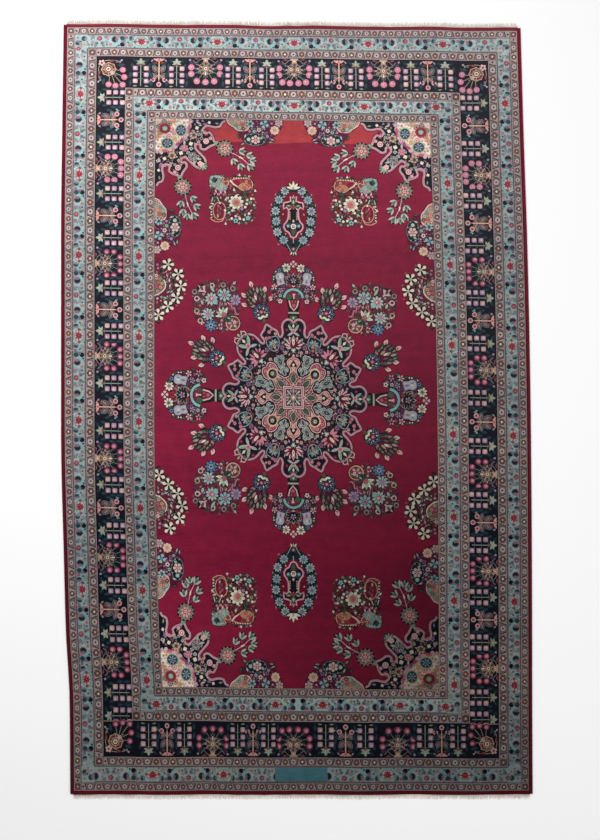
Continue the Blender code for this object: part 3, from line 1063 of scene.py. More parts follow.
def cone_spray(pen):
    """A ringed cone flower with a spray of tulips, growing towards +y from a scroll's tip."""
    pen.chart("leaf green,8,-8,60,26,12", BOTH)
    pen.chart("leaf sage,0,-14,0,28,20 disc ink,0,44,41,13")
    for k in range(13):
        turn = 360 / 13 * k
        turned = pen.at(0, 44, turn)
        turned.leaf("stone" if k % 3 else "sage", 0, 20, 0, 20, 15)
        turned.disc("green" if k % 2 else "umber", 0, 30, 3.6, 4)
    pen.disc("clay", 0, 44, 27, 10)
    for k in range(8):
        pen.at(0, 44, 45 * k + 10).leaf("blush" if k % 2 else "peach", 0, 8, 0, 19, 12)
    pen.chart("flower petal/rust/maroon,0,46,10 vine ink,7,0,84,3,130,-4,180")
    for x, y, turn, size in rows("""
        -22,98,28,35 24,104,-30,37 -24,138,34,36 26,144,-28,36 -5,172,14,39 16,168,-24,35"""):
        pen.stem("mauve", [(0, y - 16), (x * 0.7, y)], 3)
        tulip(pen, x, y, turn, size)
    pen.chart("vine petal,3,0,84,3,130,-4,176 leaf ivory,2,116,-6,26,7")
    for x, y in rows("-12,88 12,92 -10,126 12,132 6,160"):
        pen.disc("plum", x, y, 6, 6)


def navy_spray(pen):
    """A navy flower with a spray of brown leaves behind it, growing towards +y."""
    pen.fill("plum", rows("-24,84 24,84 46,112 38,150 10,172 -12,172 -40,146 -46,110"))
    leaves = rows("""
        -16,82,58 16,84,-58 -26,92,34 28,96,-30 -34,108,12 36,112,-10 -10,100,14 12,102,-14 -24,122,26
        24,124,-26 0,120,0 -30,138,4 30,138,-4 -12,140,12 14,142,-12 0,152,0""")
    for k, (x, y, turn) in enumerate(leaves):
        pen.leaf("ink", x, y - 3, turn, 38, 21)
        pen.leaf(("umber", "stone", "green")[k % 3], x, y, turn, 31, 14)
        pen.leaf("sand" if k % 2 else "mauve", x, y + 4, turn, 20, 4)
    for x, y, turn in rows("3,184,0 44,148,-30 54,108,-44 -42,144,28 -52,100,44"):
        pen.leaf("ink", x, y - 12, turn, 34, 26)
        pen.leaf("petal", x, y - 9, turn, 29, 20)
        pen.leaf("peach", x, y - 6, turn, 18, 11)
        pen.disc("umber", x, y - 2, 4, 5)
    pen.chart("leaf ivory,3,112,-4,26,9 star ink,0,52,44,10,0.86")
    for k in range(10):
        turned = pen.at(0, 52, 36 * k)
        turned.chart("leaf steel,0,10,0,30,21 night,0,11,0,26,17")
        turned.leaf("lilac" if k % 2 else "mist", 0, 19, 0, 14, 4)
    pen.chart("""
        flower rose/petal/wine,0,55,9 leaf ivory,-13,62,13,11,7 petal,13,59,-13,11,7 peach,-14,44,14,11,7
        ivory,15,42,-15,11,7 vine ink,15,-24,36,-12,26,0,32,12,26,24,34
        ivory,9,-23,37,-12,28,0,34,12,28,22,35 leaf gold,-4,27,70,18,8 disc umber,0,15,10,7
        leaf green,0,4,0,20,11""")


def round_bouquet(pen):
    """Blue flowers in a round of ring buds, with a shell and a ringed flower at its foot. Its
    foot points to the medallion, towards +x and -y."""
    outline = curve(rows("""
        0,120 60,106 100,74 106,20 100,-70 60,-112 0,-112 -60,-88 -96,-56 -106,0 -104,60 -70,98"""), 2, True)
    pen.fill("plum", outline)
    meadow(pen, outline, 15, 8, "umber maroon mauve grape rose blush plum", "wine rose ink", "umber")
    for x, y, yarn in rows("""
        -19,92,petal -88,31,petal -88,-26,sand 32,96,stone 76,80,stone -72,-70,blush -98,62,stone"""):
        pen.disc("ink", x, y, 16, 8)
        pen.disc(yarn, x, y, 13, 8)
        pen.disc("umber", x, y + 1, 8, 6)
        pen.leaf("ink", x, y - 4, 0, 9, 6)
    pen.chart("""
        fill ink,-87,97,-46,97,-50,56,-87,60 blush,-85,95,-66,86,-49,94,-51,62,-84,62,-74,77
        leaf umber,-72,90,-150,26,13""")
    for x, y in rows("-16,76 -76,31 -50,62 -65,-84 -57,-78 -84,-38 14,-86 24,-84"):
        pen.disc("petal", x, y, 4, 5)
    pen.chart("""
        leaf ink,-9,60,30,45,19 mint,-9,62,30,40,13 ink,-60,2,20,29,19 mint,-60,4,20,24,13
        ink,76,96,-40,27,19 mint,76,98,-40,22,13 ink,8,52,-30,35,19 mint,8,54,-30,30,13
        blossom mist/rose/shade,-21,31,29,10,0,0.42 leaf aqua,-12,28,-140,28,17 disc rose,-24,32,11,8
        petal,-20,33,6,6 blossom sky/rose/shade,38,50,29,8,0,0.5 star lilac,38,50,11,8,0.5
        disc berry,38,50,5,5 blossom mist/rose/shade,-36,-38,27,9,10,0.44 disc lilac,-36,-38,9,8
        rose,-37,-37,5,6 blossom lilac/slate/grape,88,29,24,8,20,0.5 steel/teal/night,-24,-90,26,8,0,0.52
        star mist,-24,-90,12,5,0.5 disc teal,-24,-90,6,6""")
    turns = [98 - 30 * k for k in range(5)]
    for turn in turns:
        pen.leaf("ink", 36, -42, turn, 46, 19)
    for k, turn in enumerate(turns):
        pen.leaf("mint" if k % 2 else "ivory", 36, -42, turn, 41, 14)
        pen.leaf("sage", 36, -42, turn, 30, 4)
    pen.chart("disc clay,36,-40,13,8 rose,34,-38,6,6")
    zigzag = rows("62,10 72,12 70,-6 84,-8 86,-24 96,-38 104,-34")
    pen.stem("maroon", zigzag, 9)
    pen.stem("pink", zigzag, 4.5)
    for x, y in ((17, 14), (26, 8), (38, 10), (44, 8), (14, -8)):
        pen.leaf("blush", x, y - 8, -10, 17, 4)
    pen.chart("disc ink,76,-77,38,14 peach,76,-77,34,14 umber,77,-76,29,12")
    for turn, yarn in rows("20,petal 90,blush 150,blush 220,petal 290,blush"):
        turned = pen.at(76, -77, turn)
        turned.leaf("clay", 0, 4, 0, 25, 15)
        turned.leaf(yarn, 0, 6, 0, 19, 9)
    pen.chart("""
        flower petal/rose/maroon,84,-72,10 disc ink,54,-58,17,9 green,54,-58,14.5,9 shade,54,-58,10,8
        leaf mint,50,-51,-120,18,8 petal,28,-96,150,14,7""")


def square_bouquet(pen):
    """The large bouquet of the field, with a shell, two rust cartouches and a white flower."""
    outline = curve(rows("""
        -104,112
        -40,113 20,120 82,112 100,74 106,0 104,-72 72,-103 -10,-104 -98,-90 -108,-30 -104,40"""), 2, True)
    pen.fill("maroon", outline)
    meadow(pen, outline, 17, 5, "green plum ivory umber mauve petal rose sage", "wine maroon teal")
    shell = rows("-105,112 -48,112 -26,84 -27,56 -40,42 -64,43 -86,58 -106,66")
    contour(pen, curve(shell, 2, True), "ink,-4 sage,0 mist,5 sage,10")
    meadow(pen, shell, 13, 6, "mist taupe sage mint", "slate sage", "slate")
    pen.chart("""
        fill teal,-88,110,-72,94,-84,78,-100,92 leaf ink,-84,82,-30,26,9 mint,-56,50,-10,46,15
        sage,-54,62,-10,26,5 lilac,-48,46,60,24,14""")
    arc = curve(rows("-44,104 -48,84 -28,92 -22,78 -36,64"))
    pen.stem("maroon", arc, 11)
    pen.stem("peach", arc, 5)
    pen.chart("flower rust/umber/umber,-36,96,6 rust/umber/umber,-34,80,6")
    cartouche = curve(rows("-12,92 14,104 62,108 86,92 88,62 46,44 18,62"), 2, True)
    contour(pen, cartouche, "ink,-4 peach,0 rust,4.5")
    pen.chart("stem ivory,4,-14,96,-4,78,18,64 blob crimson,-6,92,20,98,32,80,16,70")
    for k in range(6):
        pen.fill("ink", [(-4 + 11 * k, 104), (4 + 11 * k, 106), (2 + 11 * k, 113), (-3 + 11 * k, 112)])
        pen.fill("ivory", [(1 + 11 * k, 102), (5 + 11 * k, 103), (4 + 11 * k, 108), (0 + 11 * k, 107)])
    inner = curve(rows("24,66 44,82 74,78 78,60 48,50"), 2, True)
    contour(pen, inner, "umber,-2 peach,0 clay,3.5")
    for x, y, yarn in rows("""
        38,66,gold 50,72,peach 62,64,gold 52,58,salmon 70,72,salmon 60,90,sand 74,92,umber 44,94,umber"""):
        small_flower(pen, x, y, 7, yarn, "rust", "rust")
    for k, (x, y) in enumerate(rows("-88,30 -76,42 -66,30 -54,38 -44,30 -34,40")):
        pen.leaf("wine", x, y - 12, -20 + 40 * (k % 2), 25, 12)
        pen.leaf("petal" if k % 2 else "pink", x, y - 10, -20 + 40 * (k % 2), 21, 8)
    arch = curve(rows("-98,-8 -90,16 -74,14 -64,-10"))
    pen.stem("ink", arch, 12)
    pen.stem("mist", arch, 5)
    contour(pen, oval(31.5, 44, 12, -62, -50), "ink,-3 peach,0 wine,4")
    for k in range(6):
        pen.fill("ivory", [(-104, -16 - 13 * k), (-94, -12 - 13 * k), (-97, -20 - 13 * k)])
        pen.fill("ink", [(-104, -22 - 13 * k), (-92, -20 - 13 * k), (-97, -26 - 13 * k)])
    pen.chart("""
        leaf rose,-66,-38,9,22,9 clay,-54,-48,21,22,9 berry,-70,-58,5,22,9 green,-58,-70,17,22,9
        sand,-68,-84,7,22,9 vine peach,4,-104,-86,-80,-100,-50,-96,-40,-70,-38,-40
        blossom ivory/rose,13,-9,34,9,0,0.5 star sand,13,-9,22,9,0.7 disc salmon,15,-11,14,9
        star rose,13,-9,10,5,0.6""")
    for x, y, r, yarn, heart in rows("""
        78,-8,10,sage,green 68,-80,13,aqua,sage 12,-94,13,aqua,teal -20,-56,11,sage,ivory
        40,-38,9,lilac,mauve"""):
        small_flower(pen, x, y, r, yarn, heart)
        for turn in (-62, 0, 62):
            dx, dy = polar(r + 8, turn + (50 if x > 60 else 0))
            pen.disc("ink", x - dx, y + dy, 8.5, 6)
            pen.disc("ivory" if turn else "petal", x - dx, y + dy, 6.5, 6)
    for x, y in rows("100,48 28,119 4,50 -34,4 -105,-34 -34,-108 -61,-12"):
        pen.fill("ink", [(x - 9, y - 7), (x, y + 11), (x + 9, y - 7)])
        pen.fill("ivory", [(x - 6, y - 5), (x, y + 8), (x + 6, y - 5)])
    for x, y, turn, size in rows("46,14,-14,34 62,8,30,24 -16,-34,150,22 36,-52,-150,22 -78,4,30,20"):
        pen.leaf("ink", x, y, turn, size + 5, 17)
        pen.leaf("green", x, y, turn, size, 11)


def edge_bouquet(pen):
    """Half a bouquet that grows out of the field's edge towards +y. Its longer arm reaches
    to +x, and a sand-coloured cartouche stands at its other end."""
    outline = curve(rows("-140,0 -100,44 -84,76 -60,112 -14,124 40,118 58,96 84,72 108,40 120,0"), 2)
    pen.fill("plum", outline)
    meadow(pen, rows("""
        -50,4 -44,100 40,104 96,40 112,4"""), 15, 12, "mauve plum berry lilac steel", "ink wine petal")
    shell = curve(rows("-146,0 -136,22 -112,38 -96,52 -72,55 -48,50 -40,34 -42,0"), 2)
    pen.fill("ink", offset(shell, 3.5))
    pen.fill("petal", shell)
    pen.fill("sand", offset(shell, -4.5))
    pen.chart("""
        flower mint/green/clay,-114,14,10 sage/umber/clay,-100,30,10 peach/rose/clay,-88,12,10
        mint/sage/clay,-84,38,10 salmon/cherry/clay,-70,22,10 umber/sand/clay,-66,42,10
        blush/umber/clay,-52,12,10 peach/rust/clay,-54,30,10 peach/umber/clay,-128,4,10
        leaf mist,-108,34,-40,26,7 blossom sky/teal/shade,-36,19,18,6,20,0.7 star teal,-36,19,8,4,0.4
        blossom sky/night/shade,30,19,20,4,20,0.95 star steel,30,19,9,4,0.4,45
        blossom apricot/sand/umber,77,47,21,8,0,0.66 blush/sand/umber,96,11,18,6,0,0.7""")
    contour(pen, oval(49, 28, 14, -14, 92), "ink,-4 slate,-2 ink,1 shade,7")
    for k in range(8):
        x, y = polar(1, 45 * k + 22)
        pen.disc("mist" if k % 3 else "lilac", 45 * x - 14, 24.5 * y + 92, 3, 4)
    pen.chart("""
        disc green,-30,104,9,7 green,8,86,10,7 blossom petal/sand,-10,93,21,6,0,0.72 disc mist,-42,92,9,7
        leaf mint,12,92,-150,20,11 flower petal/plum,5,46,12 mint/teal,-17,54,9 mauve/ink,37,63,11
        pink/wine,-38,54,7 lilac/rose,44,76,8""")
    for x, y, turn, yarn in rows("""
        -92,66,-20,green 56,86,-70,lilac 48,102,-90,sage -60,108,60,sage -54,66,20,mist"""):
        pen.leaf("ink", x, y, turn, 28, 15)
        pen.leaf(yarn, x, y + 1, turn, 23, 9)


def star_fan(pen):
    """White starry flowers in a fan that opens from the field's edge towards +y."""
    outline = curve(rows("132,0 122,46 90,92 40,128 -20,138 -70,116 -116,74 -140,30 -158,0"), 2)
    pen.fill("wine", outline)
    inner = [(x * 0.86, y * 0.86) for x, y in outline]
    meadow(pen, inner, 17, 4, "umber mist sage lilac green stone", "wine maroon petal")
    for x, y, turn, yarn in rows("""
        52,42,-50,blush 36,60,-110,pink 14,66,-90,petal -10,66,-70,mist -34,52,-30,lilac -52,36,20,mint
        62,28,10,salmon -56,62,-60,mauve 70,62,-40,sand"""):
        pen.leaf("ink", x, y, turn, 27, 15)
        pen.leaf(yarn, x, y + 1, turn, 23, 10)
    shell = curve(rows("60,0 46,22 26,42 6,50 -14,46 -34,26 -46,0"), 2)
    pen.fill("ink", offset(shell, 6))
    pen.fill("clay", shell)
    for x, y, yarn, heart in rows("""
        34,10,peach,rose 30,26,sage,umber 14,18,salmon,cherry 10,34,sand,umber -6,10,rose,cherry
        -8,28,peach,rust -26,14,sand,green 46,8,petal,rust"""):
        small_flower(pen, x, y, 9.5, yarn, heart, "umber")
    pen.stem("ivory", shell[4:], 4.5)
    for k, (x, y) in enumerate(rows("98,61 54,107 -1,120 -54,101 -94,60 -134,18")):
        for lean in (0, 120, 240):
            dx, dy = polar(19, lean + 31 * k)
            pen.leaf("ink", x + dx, y + dy - 10, lean / 2, 26, 20)
            pen.leaf("umber" if lean else "green", x + dx, y + dy - 8, lean / 2, 20, 13)
        blossom(pen, x, y, 28, "ivory", "blush", "ink", 5, 24 * k, 0.56, 0.88)
        pen.disc("sand", x, y, 4, 5)
    for x, y in rows("112,84 76,128 24,142 -34,138 -84,100"):
        pen.leaf("clay", x, y - 6, -x / 2, 15, 7)


# The spandrel's lines, as distances from the field's corner along its head edge and down its side.
SCROLL = rows("""
    318,8 304,16 294,34 268,38 236,32 217,46 224,66 246,62 260,80 268,104 276,116 250,128 226,144 206,138
    206,122 190,118 182,136 200,158 226,186 232,214 228,232""")
BAND = rows("164,-4 160,20 150,44 157,68 142,92 120,110")
CLOUD = rows("146,-4 146,22 134,44 134,66 116,86 100,98")


def corner_line(points):
    """A line from the head edge to the side edge, mirrored about the diagonal. The field's
    corner is the origin, and the field lies towards -x and -y."""
    return [(-u, -v) for u, v in points] + [(-v, -u) for u, v in reversed(points)]


def spandrel(pen):
    ground = curve(corner_line(SCROLL), 3)
    pen.fill("ink", ribbon(ground, 17))
    pen.fill("night", [*ground, (0, -318), (0, 0), (-318, 0)])
    inside = rows("0,-220 0,-20 -20,0 -220,0 -262,-100 -190,-130 -206,-206 -130,-190 -100,-262")
    meadow(pen, inside, 24, 9, "lilac mauve sage stone rose mist", "ink wine blush")
    pen.stem("dusk", ground, 10.5)
    pen.stem("blush", offset(ground, 2.5), 3.5)
    band = curve(corner_line(BAND), 2)
    cloud = curve(corner_line(CLOUD), 2)
    pen.fill("ink", [*offset(band, 3), (0, 0)])
    pen.fill("dusk", [*band, (0, 0)])
    pen.fill("petal", [*offset(cloud, 5), (0, 0)])
    pen.fill("mint", [*offset(cloud, 1), (0, 0)])
    pen.fill("ivory", [*offset(cloud, -4), (0, 0)])
    pen.leaf("mauve", -150, -58, 130, 28, 11)
    for half in (pen, pen.at(0, 0, 90, 1, -1)):
        half.chart("""
            blob ivory,-100,0,-90,-34,-74,-74,-92,-92,-70,-100,-34,-86,0,-50,0,0
            apricot,-92,0,-84,-30,-68,-52,-52,-68,-30,-78,0,-40,0,0""")
    corner = [*offset(cloud, -16), (0, 0)]
    meadow(pen, corner, 17, 2, "gold blush mint mist salmon sage", "rust petal sage", "petal")
    for half in (pen, pen.at(0, 0, 90, 1, -1)):
        half.chart("leaf rose,-156,-30,190,30,13 berry,-126,-92,215,28,12")
        eye = half.at(-116, -54)
        contour(eye, oval(23, 26, 12), "mint,-4 green,0 teal,3")
        for k in range(7):
            eye.at(0, 0, 360 / 7 * k).leaf("sky" if k % 2 else "lilac", 0, 5, 0, 17, 6)
        eye.star("steel", 0, 0, 8, 5, 0.5)
        half.chart("""
            flower sage/umber/rose,-62,-22,13 gold/rust/salmon,-84,-12,9 sage/green/umber,-38,-14,11
            rose/umber/sage,-20,-30,8 petal/cherry/salmon,-84,-62,10""")
        for x, y, r in rows("-189,-42,10 -162,-117,11 -245,-16,8"):
            half.disc("ink", x, y, r * 1.5, 8)
            half.star("ivory", x, y, r, 4, 0.6, 20)
        half.chart("""
            blossom sand/umber/umber,-173,-77,18,6,10,0.75 disc umber,-175,-76,9,7
            flower sand/clay,-197,-107,9 disc ink,-231,-104,17,9 petal,-231,-104,14,9
            star rose,-231,-104,9,5,0.6 disc ivory,-231,-104,4,5 flower petal/rose/maroon,-252,-90,9
            disc wine,-236,-52,9,7 leaf sage,-208,-62,170,25,10 blush,-184,-14,110,26,9
            mauve,-214,-24,80,24,9 sage,-270,-18,100,22,9 lilac,-138,-150,60,18,9""")
    pen.chart("""
        blossom pink/rose/umber,-132,-138,17,7,0,0.6 disc rose,-132,-138,8,7 petal,-131,-137,4,5
        ink,-170,-178,23,10 lilac,-170,-178,20,10 umber,-170,-178,17,10""")
    for k in range(7):
        pen.at(-170, -178, 360 / 7 * k).leaf("sage" if k % 3 else "mint", 0, 4, 0, 14, 8)
    pen.chart("leaf mint,-186,-186,100,26,11 mint,-176,-196,170,26,11 flower petal/sand,-205,-210,14")
    for turn in (60, 100, 135, 170, 210):
        pen.leaf("ink", -214, -218, turn, 33, 15)
    for turn in (60, 100, 135, 170, 210):
        pen.leaf("sage" if turn != 135 else "mint", -214, -218, turn, 28, 9)
    pen.chart("leaf petal,-216,-220,20,16,8 petal,-216,-220,250,16,8")
    contour(pen, oval(28, 26, 10, -42, -46), "cherry,0 maroon,6")
    pen.chart("star sage,-42,-46,14,5,0.8 mint,-42,-46,8,5,0.8 flower gold/sand/peach,-88,-94,10")


def draw_field(pen):
    first = len(pen.patches)
    frame_patch(pen, "crimson", *FIELD)
    wide, head = FIELD
    edge = [(wide * (k / 6 - 1), 1161 + 5 * math.sin(k * 2.1) + 0.9 * k) for k in range(13)]
    pen.fill("vermilion", [*edge, (wide, head), (-wide, head)])
    for sx in BOTH:
        for sy in BOTH:
            part = pen.at(0, 0, 0, sx, sy)
            edge_bouquet(part.at(163, FIELD[1], 180))
            edge_bouquet(part.at(FIELD[0], 752, 90, -1))
            star_fan(part.at(FIELD[0], 492, 90))
            round_bouquet(part.at(351, 405, 0, -1))
            square_bouquet(part.at(274, 892, 0, -1))
            spandrel(part.at(*FIELD))
            cone_spray(part.at(351, 1158, 122))
            cone_spray(part.at(518, 993, 162, -1))
            navy_spray(part.at(128, 330, -19))
            navy_spray(part.at(300, 142, -62, -1))
    for side in BOTH:
        pendant(pen.at(0, side * 340, 0 if side > 0 else 180))
        pendant(pen.at(side * 310, 0, -90 * side, 1.12, 1.04))
        wreath(pen.at(0, side * 826, 0 if side > 0 else 180))
    medallion(pen)
    trim(pen.patches, first, *FIELD)


# ---- yarns, as sRGB seen in even light
YARNS = {name: colour for name, *colour in rows("""
    crimson,132,27,58 madder,112,22,42 plum,92,24,50 wine,116,26,50 maroon,112,42,48 rust,150,58,56
    rose,186,92,118 berry,154,70,98 pink,204,136,156 dusk,188,130,148 petal,222,182,184
    blush,196,166,166 lilac,170,146,172 mauve,136,98,128 peach,210,154,134 apricot,222,184,162
    cream,216,204,160 salmon,186,110,104 fawn,208,162,156 ivory,228,220,200 sand,184,164,138
    gold,190,170,100 clay,140,100,94 dove,170,154,152 stone,148,133,132 taupe,126,112,113
    cherry,162,56,66 vermilion,168,58,63 grape,82,58,88 slate,104,118,124 lake,84,136,148 umber,88,68,66
    bark,52,38,42 ash,186,172,170 haze,122,128,134 sage,136,150,134 mint,158,180,162 mist,172,186,182
    dew,178,198,194 sky,155,177,175 aqua,134,182,180 steel,92,122,160 teal,40,70,80 shade,24,42,52
    green,62,96,74 night,20,23,35 ink,30,24,28""")}


# ---- the cloth that the solids give
FOUNDATION_TOP = 0.0026
PILE_FOOT = 0.0018  # where the pile's shell ends, inside the foundation
BODY = "rug_body"
PROBE_HEIGHT = 0.004
PROBES = 61
CORNER = 0.02  # the cloth isn't felt this near to its corners, or a few times this


def solid(node):
    """A solid's surface, and the two corners of its box."""
    tree = BVHTree.FromObject(bpy.data.objects[node], bpy.context.evaluated_depsgraph_get())
    return tree, *(Vector(corner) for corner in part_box(node))


def felt(tree, starts, direction, axis, height):
    """Where straight lines over the floor, from each start, first touch a solid."""
    along = Vector((*direction, 0))
    return np.array([tree.ray_cast(Vector((x, y, height)), along)[0][axis] for x, y in starts])


class Cloth:
    """The knotted cloth's own outline and surface, felt on its solid."""

    def __init__(self, node):
        self.tree, low, high = solid(node)
        self.ys = np.linspace(low.y + CORNER * 2, high.y - CORNER * 2, PROBES)
        self.xs = np.linspace(low.x + CORNER * 3, high.x - CORNER * 4, PROBES)
        self.left = felt(self.tree, [(low.x - 1, y) for y in self.ys], (1, 0), 0, PROBE_HEIGHT)
        self.right = felt(self.tree, [(high.x + 1, y) for y in self.ys], (-1, 0), 0, PROBE_HEIGHT)
        self.foot = felt(self.tree, [(x, low.y - 1) for x in self.xs], (0, 1), 1, PROBE_HEIGHT)
        self.head = felt(self.tree, [(x, high.y + 1) for x in self.xs], (0, -1), 1, PROBE_HEIGHT)

    def side(self, y, side):
        """The x of the left (-1) or right (1) edge at y."""
        return line_through(y, self.ys, self.left if side < 0 else self.right)

    def end(self, x, side):
        """The y of the foot (-1) or head (1) end line at x."""
        return line_through(x, self.xs, self.foot if side < 0 else self.head)

    def top(self, x, y):
        """The height of the pile's surface."""
        hit = self.tree.ray_cast(Vector((x, y, 1)), Vector((0, 0, -1)))[0]
        if hit is None:
            hit = self.tree.find_nearest(Vector((x, y, 0.02)))[0]
        return hit.z


def line_through(at, places, values):
    """The line through the values, running on straight past its ends."""
    inner = np.interp(at, places, values)
    before = (at - places[0]) * (values[1] - values[0]) / (places[1] - places[0])
    after = (at - places[-1]) * (values[-1] - values[-2]) / (places[-1] - places[-2])
    return inner + np.where(at < places[0], before, 0) + np.where(at > places[-1], after, 0)


STAR_X = -0.0154  # where the medallion's middle came to lie
BOW = 0.031  # how much more length the weaver packed into the foot half than the head half
SLANT = 0.024  # how far the wefts drop to the right at mid-length, for each metre
ROUNDS = 3  # the sides and the ends lean on one another, so a place is found in rounds


def warp(cloth, points):
    """Design points, in mm, laid on the real cloth: an array of x and y in metres. The borders
    keep their width along the wandering edges, and the field takes up the difference."""
    x, y = points[:, 0] * MM, points[:, 1] * MM
    half_x, half_y = HALF[0] * MM, HALF[1] * MM
    field = FIELD[0] * MM
    turn = np.sign(x)
    level = y + BOW * (half_y - y * y / half_y) - SLANT * x * (1 - (y / half_y) ** 2)
    real_x, real_y = x, level
    share = y / half_y
    for _ in range(ROUNDS):
        edge = np.where(x > 0, cloth.side(real_y, 1), -cloth.side(real_y, -1))
        inner = edge - (half_x - field)
        in_border = turn * (edge - (half_x - np.abs(x)))
        in_field = STAR_X + x / field * (inner - turn * STAR_X)
        real_x = np.where(np.abs(x) >= field, in_border, in_field)
        head = np.clip(share, 0, 1) ** 2 * (cloth.end(real_x, 1) - half_y)
        foot = np.clip(-share, 0, 1) ** 2 * (cloth.end(real_x, -1) + half_y)
        real_y = level + head + foot
    return np.stack([real_x, real_y], axis=1)


# ---- the cartoon becomes a mesh
GRID = 58  # mm between the points that plain ground gets
GRID_WANDER = 9


def cut_cloth(patches):
    """Triangles cut along every line where two yarns meet: points, triangles, and the topmost
    patch over each."""
    points, edges = [], []
    for patch in patches:
        first = len(points)
        count = len(patch.points)
        points += patch.points
        edges += [(first + i, first + (i + 1) % count) for i in range(count)]
    seam = len(points)
    points += [(0, -HALF[1]), (0, HALF[1])]
    points, faces = triangles(points, [*edges, (seam, seam + 1)])
    colours = sorted(YARNS)
    yarns = np.array([colours.index(patch.yarn) for patch in patches])
    middles = points[faces].mean(axis=1)
    kinds = yarns[yarn_of(middles, patches)] + len(colours) * band_of(middles)
    kept = seams(faces, kinds)
    used, edges = np.unique(kept, return_inverse=True)
    places = points[used].tolist()
    rng = random.Random(11)
    for i in range(-int(HALF[0] // GRID), int(HALF[0] // GRID) + 1):
        for j in range(-int(HALF[1] // GRID), int(HALF[1] // GRID) + 1):
            wander = [rng.uniform(-GRID_WANDER, GRID_WANDER) for _ in range(2)]
            places.append((i * GRID + wander[0], j * GRID + wander[1]))
    points, faces = triangles(places, edges.reshape(-1, 2).tolist())
    return points, faces, yarn_of(points[faces].mean(axis=1), patches)


def triangles(points, edges):
    """Triangles through all the points and along all the edges."""
    found, _, faces, _, _, _ = delaunay_2d_cdt([Vector(p) for p in points], edges, [], 0, 1e-4, False)
    points = np.array([(p.x, p.y) for p in found])
    faces = np.array(faces)
    corners = points[faces]
    a, b = corners[:, 1] - corners[:, 0], corners[:, 2] - corners[:, 0]
    area = a[:, 0] * b[:, 1] - a[:, 1] * b[:, 0]
    return points, faces[area > 1e-4]


def seams(faces, kinds):
    """The edges between triangles of unlike kinds, and those of the outline."""
    sides = np.concatenate([faces[:, [0, 1]], faces[:, [1, 2]], faces[:, [2, 0]]])
    sides.sort(axis=1)
    order = np.lexsort((sides[:, 1], sides[:, 0]))
    sides = sides[order]
    owners = np.tile(kinds, 3)[order]
    shared = np.flatnonzero((sides[1:] == sides[:-1]).all(axis=1))
    unlike = shared[owners[shared] != owners[shared + 1]]
    alone = np.ones(len(sides), dtype=bool)
    alone[shared] = False
    alone[shared + 1] = False
    return np.concatenate([sides[unlike], sides[alone]])


def yarn_of(middles, patches):
    """The number of the topmost patch over each place."""
    order = np.argsort(middles[:, 0], kind="stable")
    xs, ys = middles[order, 0], middles[order, 1]
    top = np.zeros(len(middles), dtype=int)
    for number, patch in enumerate(patches):
        outline = np.array(patch.points)
        low, high = outline.min(axis=0), outline.max(axis=0)
        first, last = np.searchsorted(xs, (low[0], high[0]))
        near = first + np.flatnonzero((ys[first:last] >= low[1]) & (ys[first:last] <= high[1]))
        if len(near):
            top[near[inside(xs[near], ys[near], outline)]] = number
    result = np.empty_like(top)
    result[order] = top
    return result


def inside(x, y, outline):
    """Whether each place lies in the outline, by how often the outline winds round it."""
    turns = np.zeros(len(x), dtype=int)
    for (x0, y0), (x1, y1) in zip(outline, np.roll(outline, -1, axis=0)):
        if y0 == y1:
            continue
        crosses = (y0 <= y) != (y1 <= y)
        right = x < x0 + (y - y0) * (x1 - x0) / (y1 - y0)
        turns += np.where(crosses & right, 1 if y1 > y0 else -1, 0)
    return turns != 0


def linear(colour):
    """A screen colour of 0 to 255 as the light it stands for."""
    shares = [c / 255 for c in colour]
    return [c / 12.92 if c <= 0.04045 else ((c + 0.055) / 1.055) ** 2.4 for c in shares]


# The pile is parted into bands, each ending at a stripe's outer edge, and the field into halves.
Band = namedtuple("Band", "name stripes side")
BANDS = (
    Band("pile_field_left", 0, -1),
    Band("pile_field_right", 0, 1),
    Band("pile_inner_stripes", 3, 0),
    Band("pile_main_border", 4, 0),
    Band("pile_outer_stripes", 8, 0),
)
FIELD_HALVES = 2
MAP_TOP = 0.96  # of a band's map, and the rest holds its walls and underside
PILE_UNEVEN = 0.0003


def reach(stripes):
    """The half width and half length of the rug as far out as so many stripes."""
    done = STRIPES[:stripes]
    return FIELD[0] + sum(s.side for s in done), FIELD[1] + sum(s.end for s in done)


def band_of(middles):
    """The number of the band that each place lies in."""
    numbers = np.full(len(middles), len(BANDS) - 1)
    for number in reversed(range(len(BANDS))):
        wide, long = reach(BANDS[number].stripes)
        numbers[(np.abs(middles[:, 0]) < wide) & (np.abs(middles[:, 1]) < long)] = number
    numbers[(numbers < FIELD_HALVES) & (middles[:, 0] > 0)] = 1
    return numbers


def build_pile(cloth):
    field_wool, border_wool = pile_wool("field wool", True), pile_wool("border wool", False)
    patches = []
    pen = Pen(patches)
    draw_borders(pen)
    draw_field(pen)
    points, faces, tops = cut_cloth(patches)
    places = warp(cloth, points)
    rng = np.random.default_rng(5)
    heights = np.array([cloth.top(x, y) for x, y in places])
    heights -= rng.uniform(0, PILE_UNEVEN, len(heights))
    spots = np.concatenate([places, heights[:, None]], axis=1)
    colours = np.array([[*linear(YARNS[patch.yarn]), 1] for patch in patches])
    numbers = band_of(points[faces].mean(axis=1))
    inner = None
    for number, band in enumerate(BANDS):
        outer = reach(band.stripes)
        mine = numbers == number
        material = field_wool if band.side else border_wool
        pile_band(band, material, points, spots, faces[mine], colours[tops[mine]], inner, outer)
        if band.side >= 0:
            inner = outer


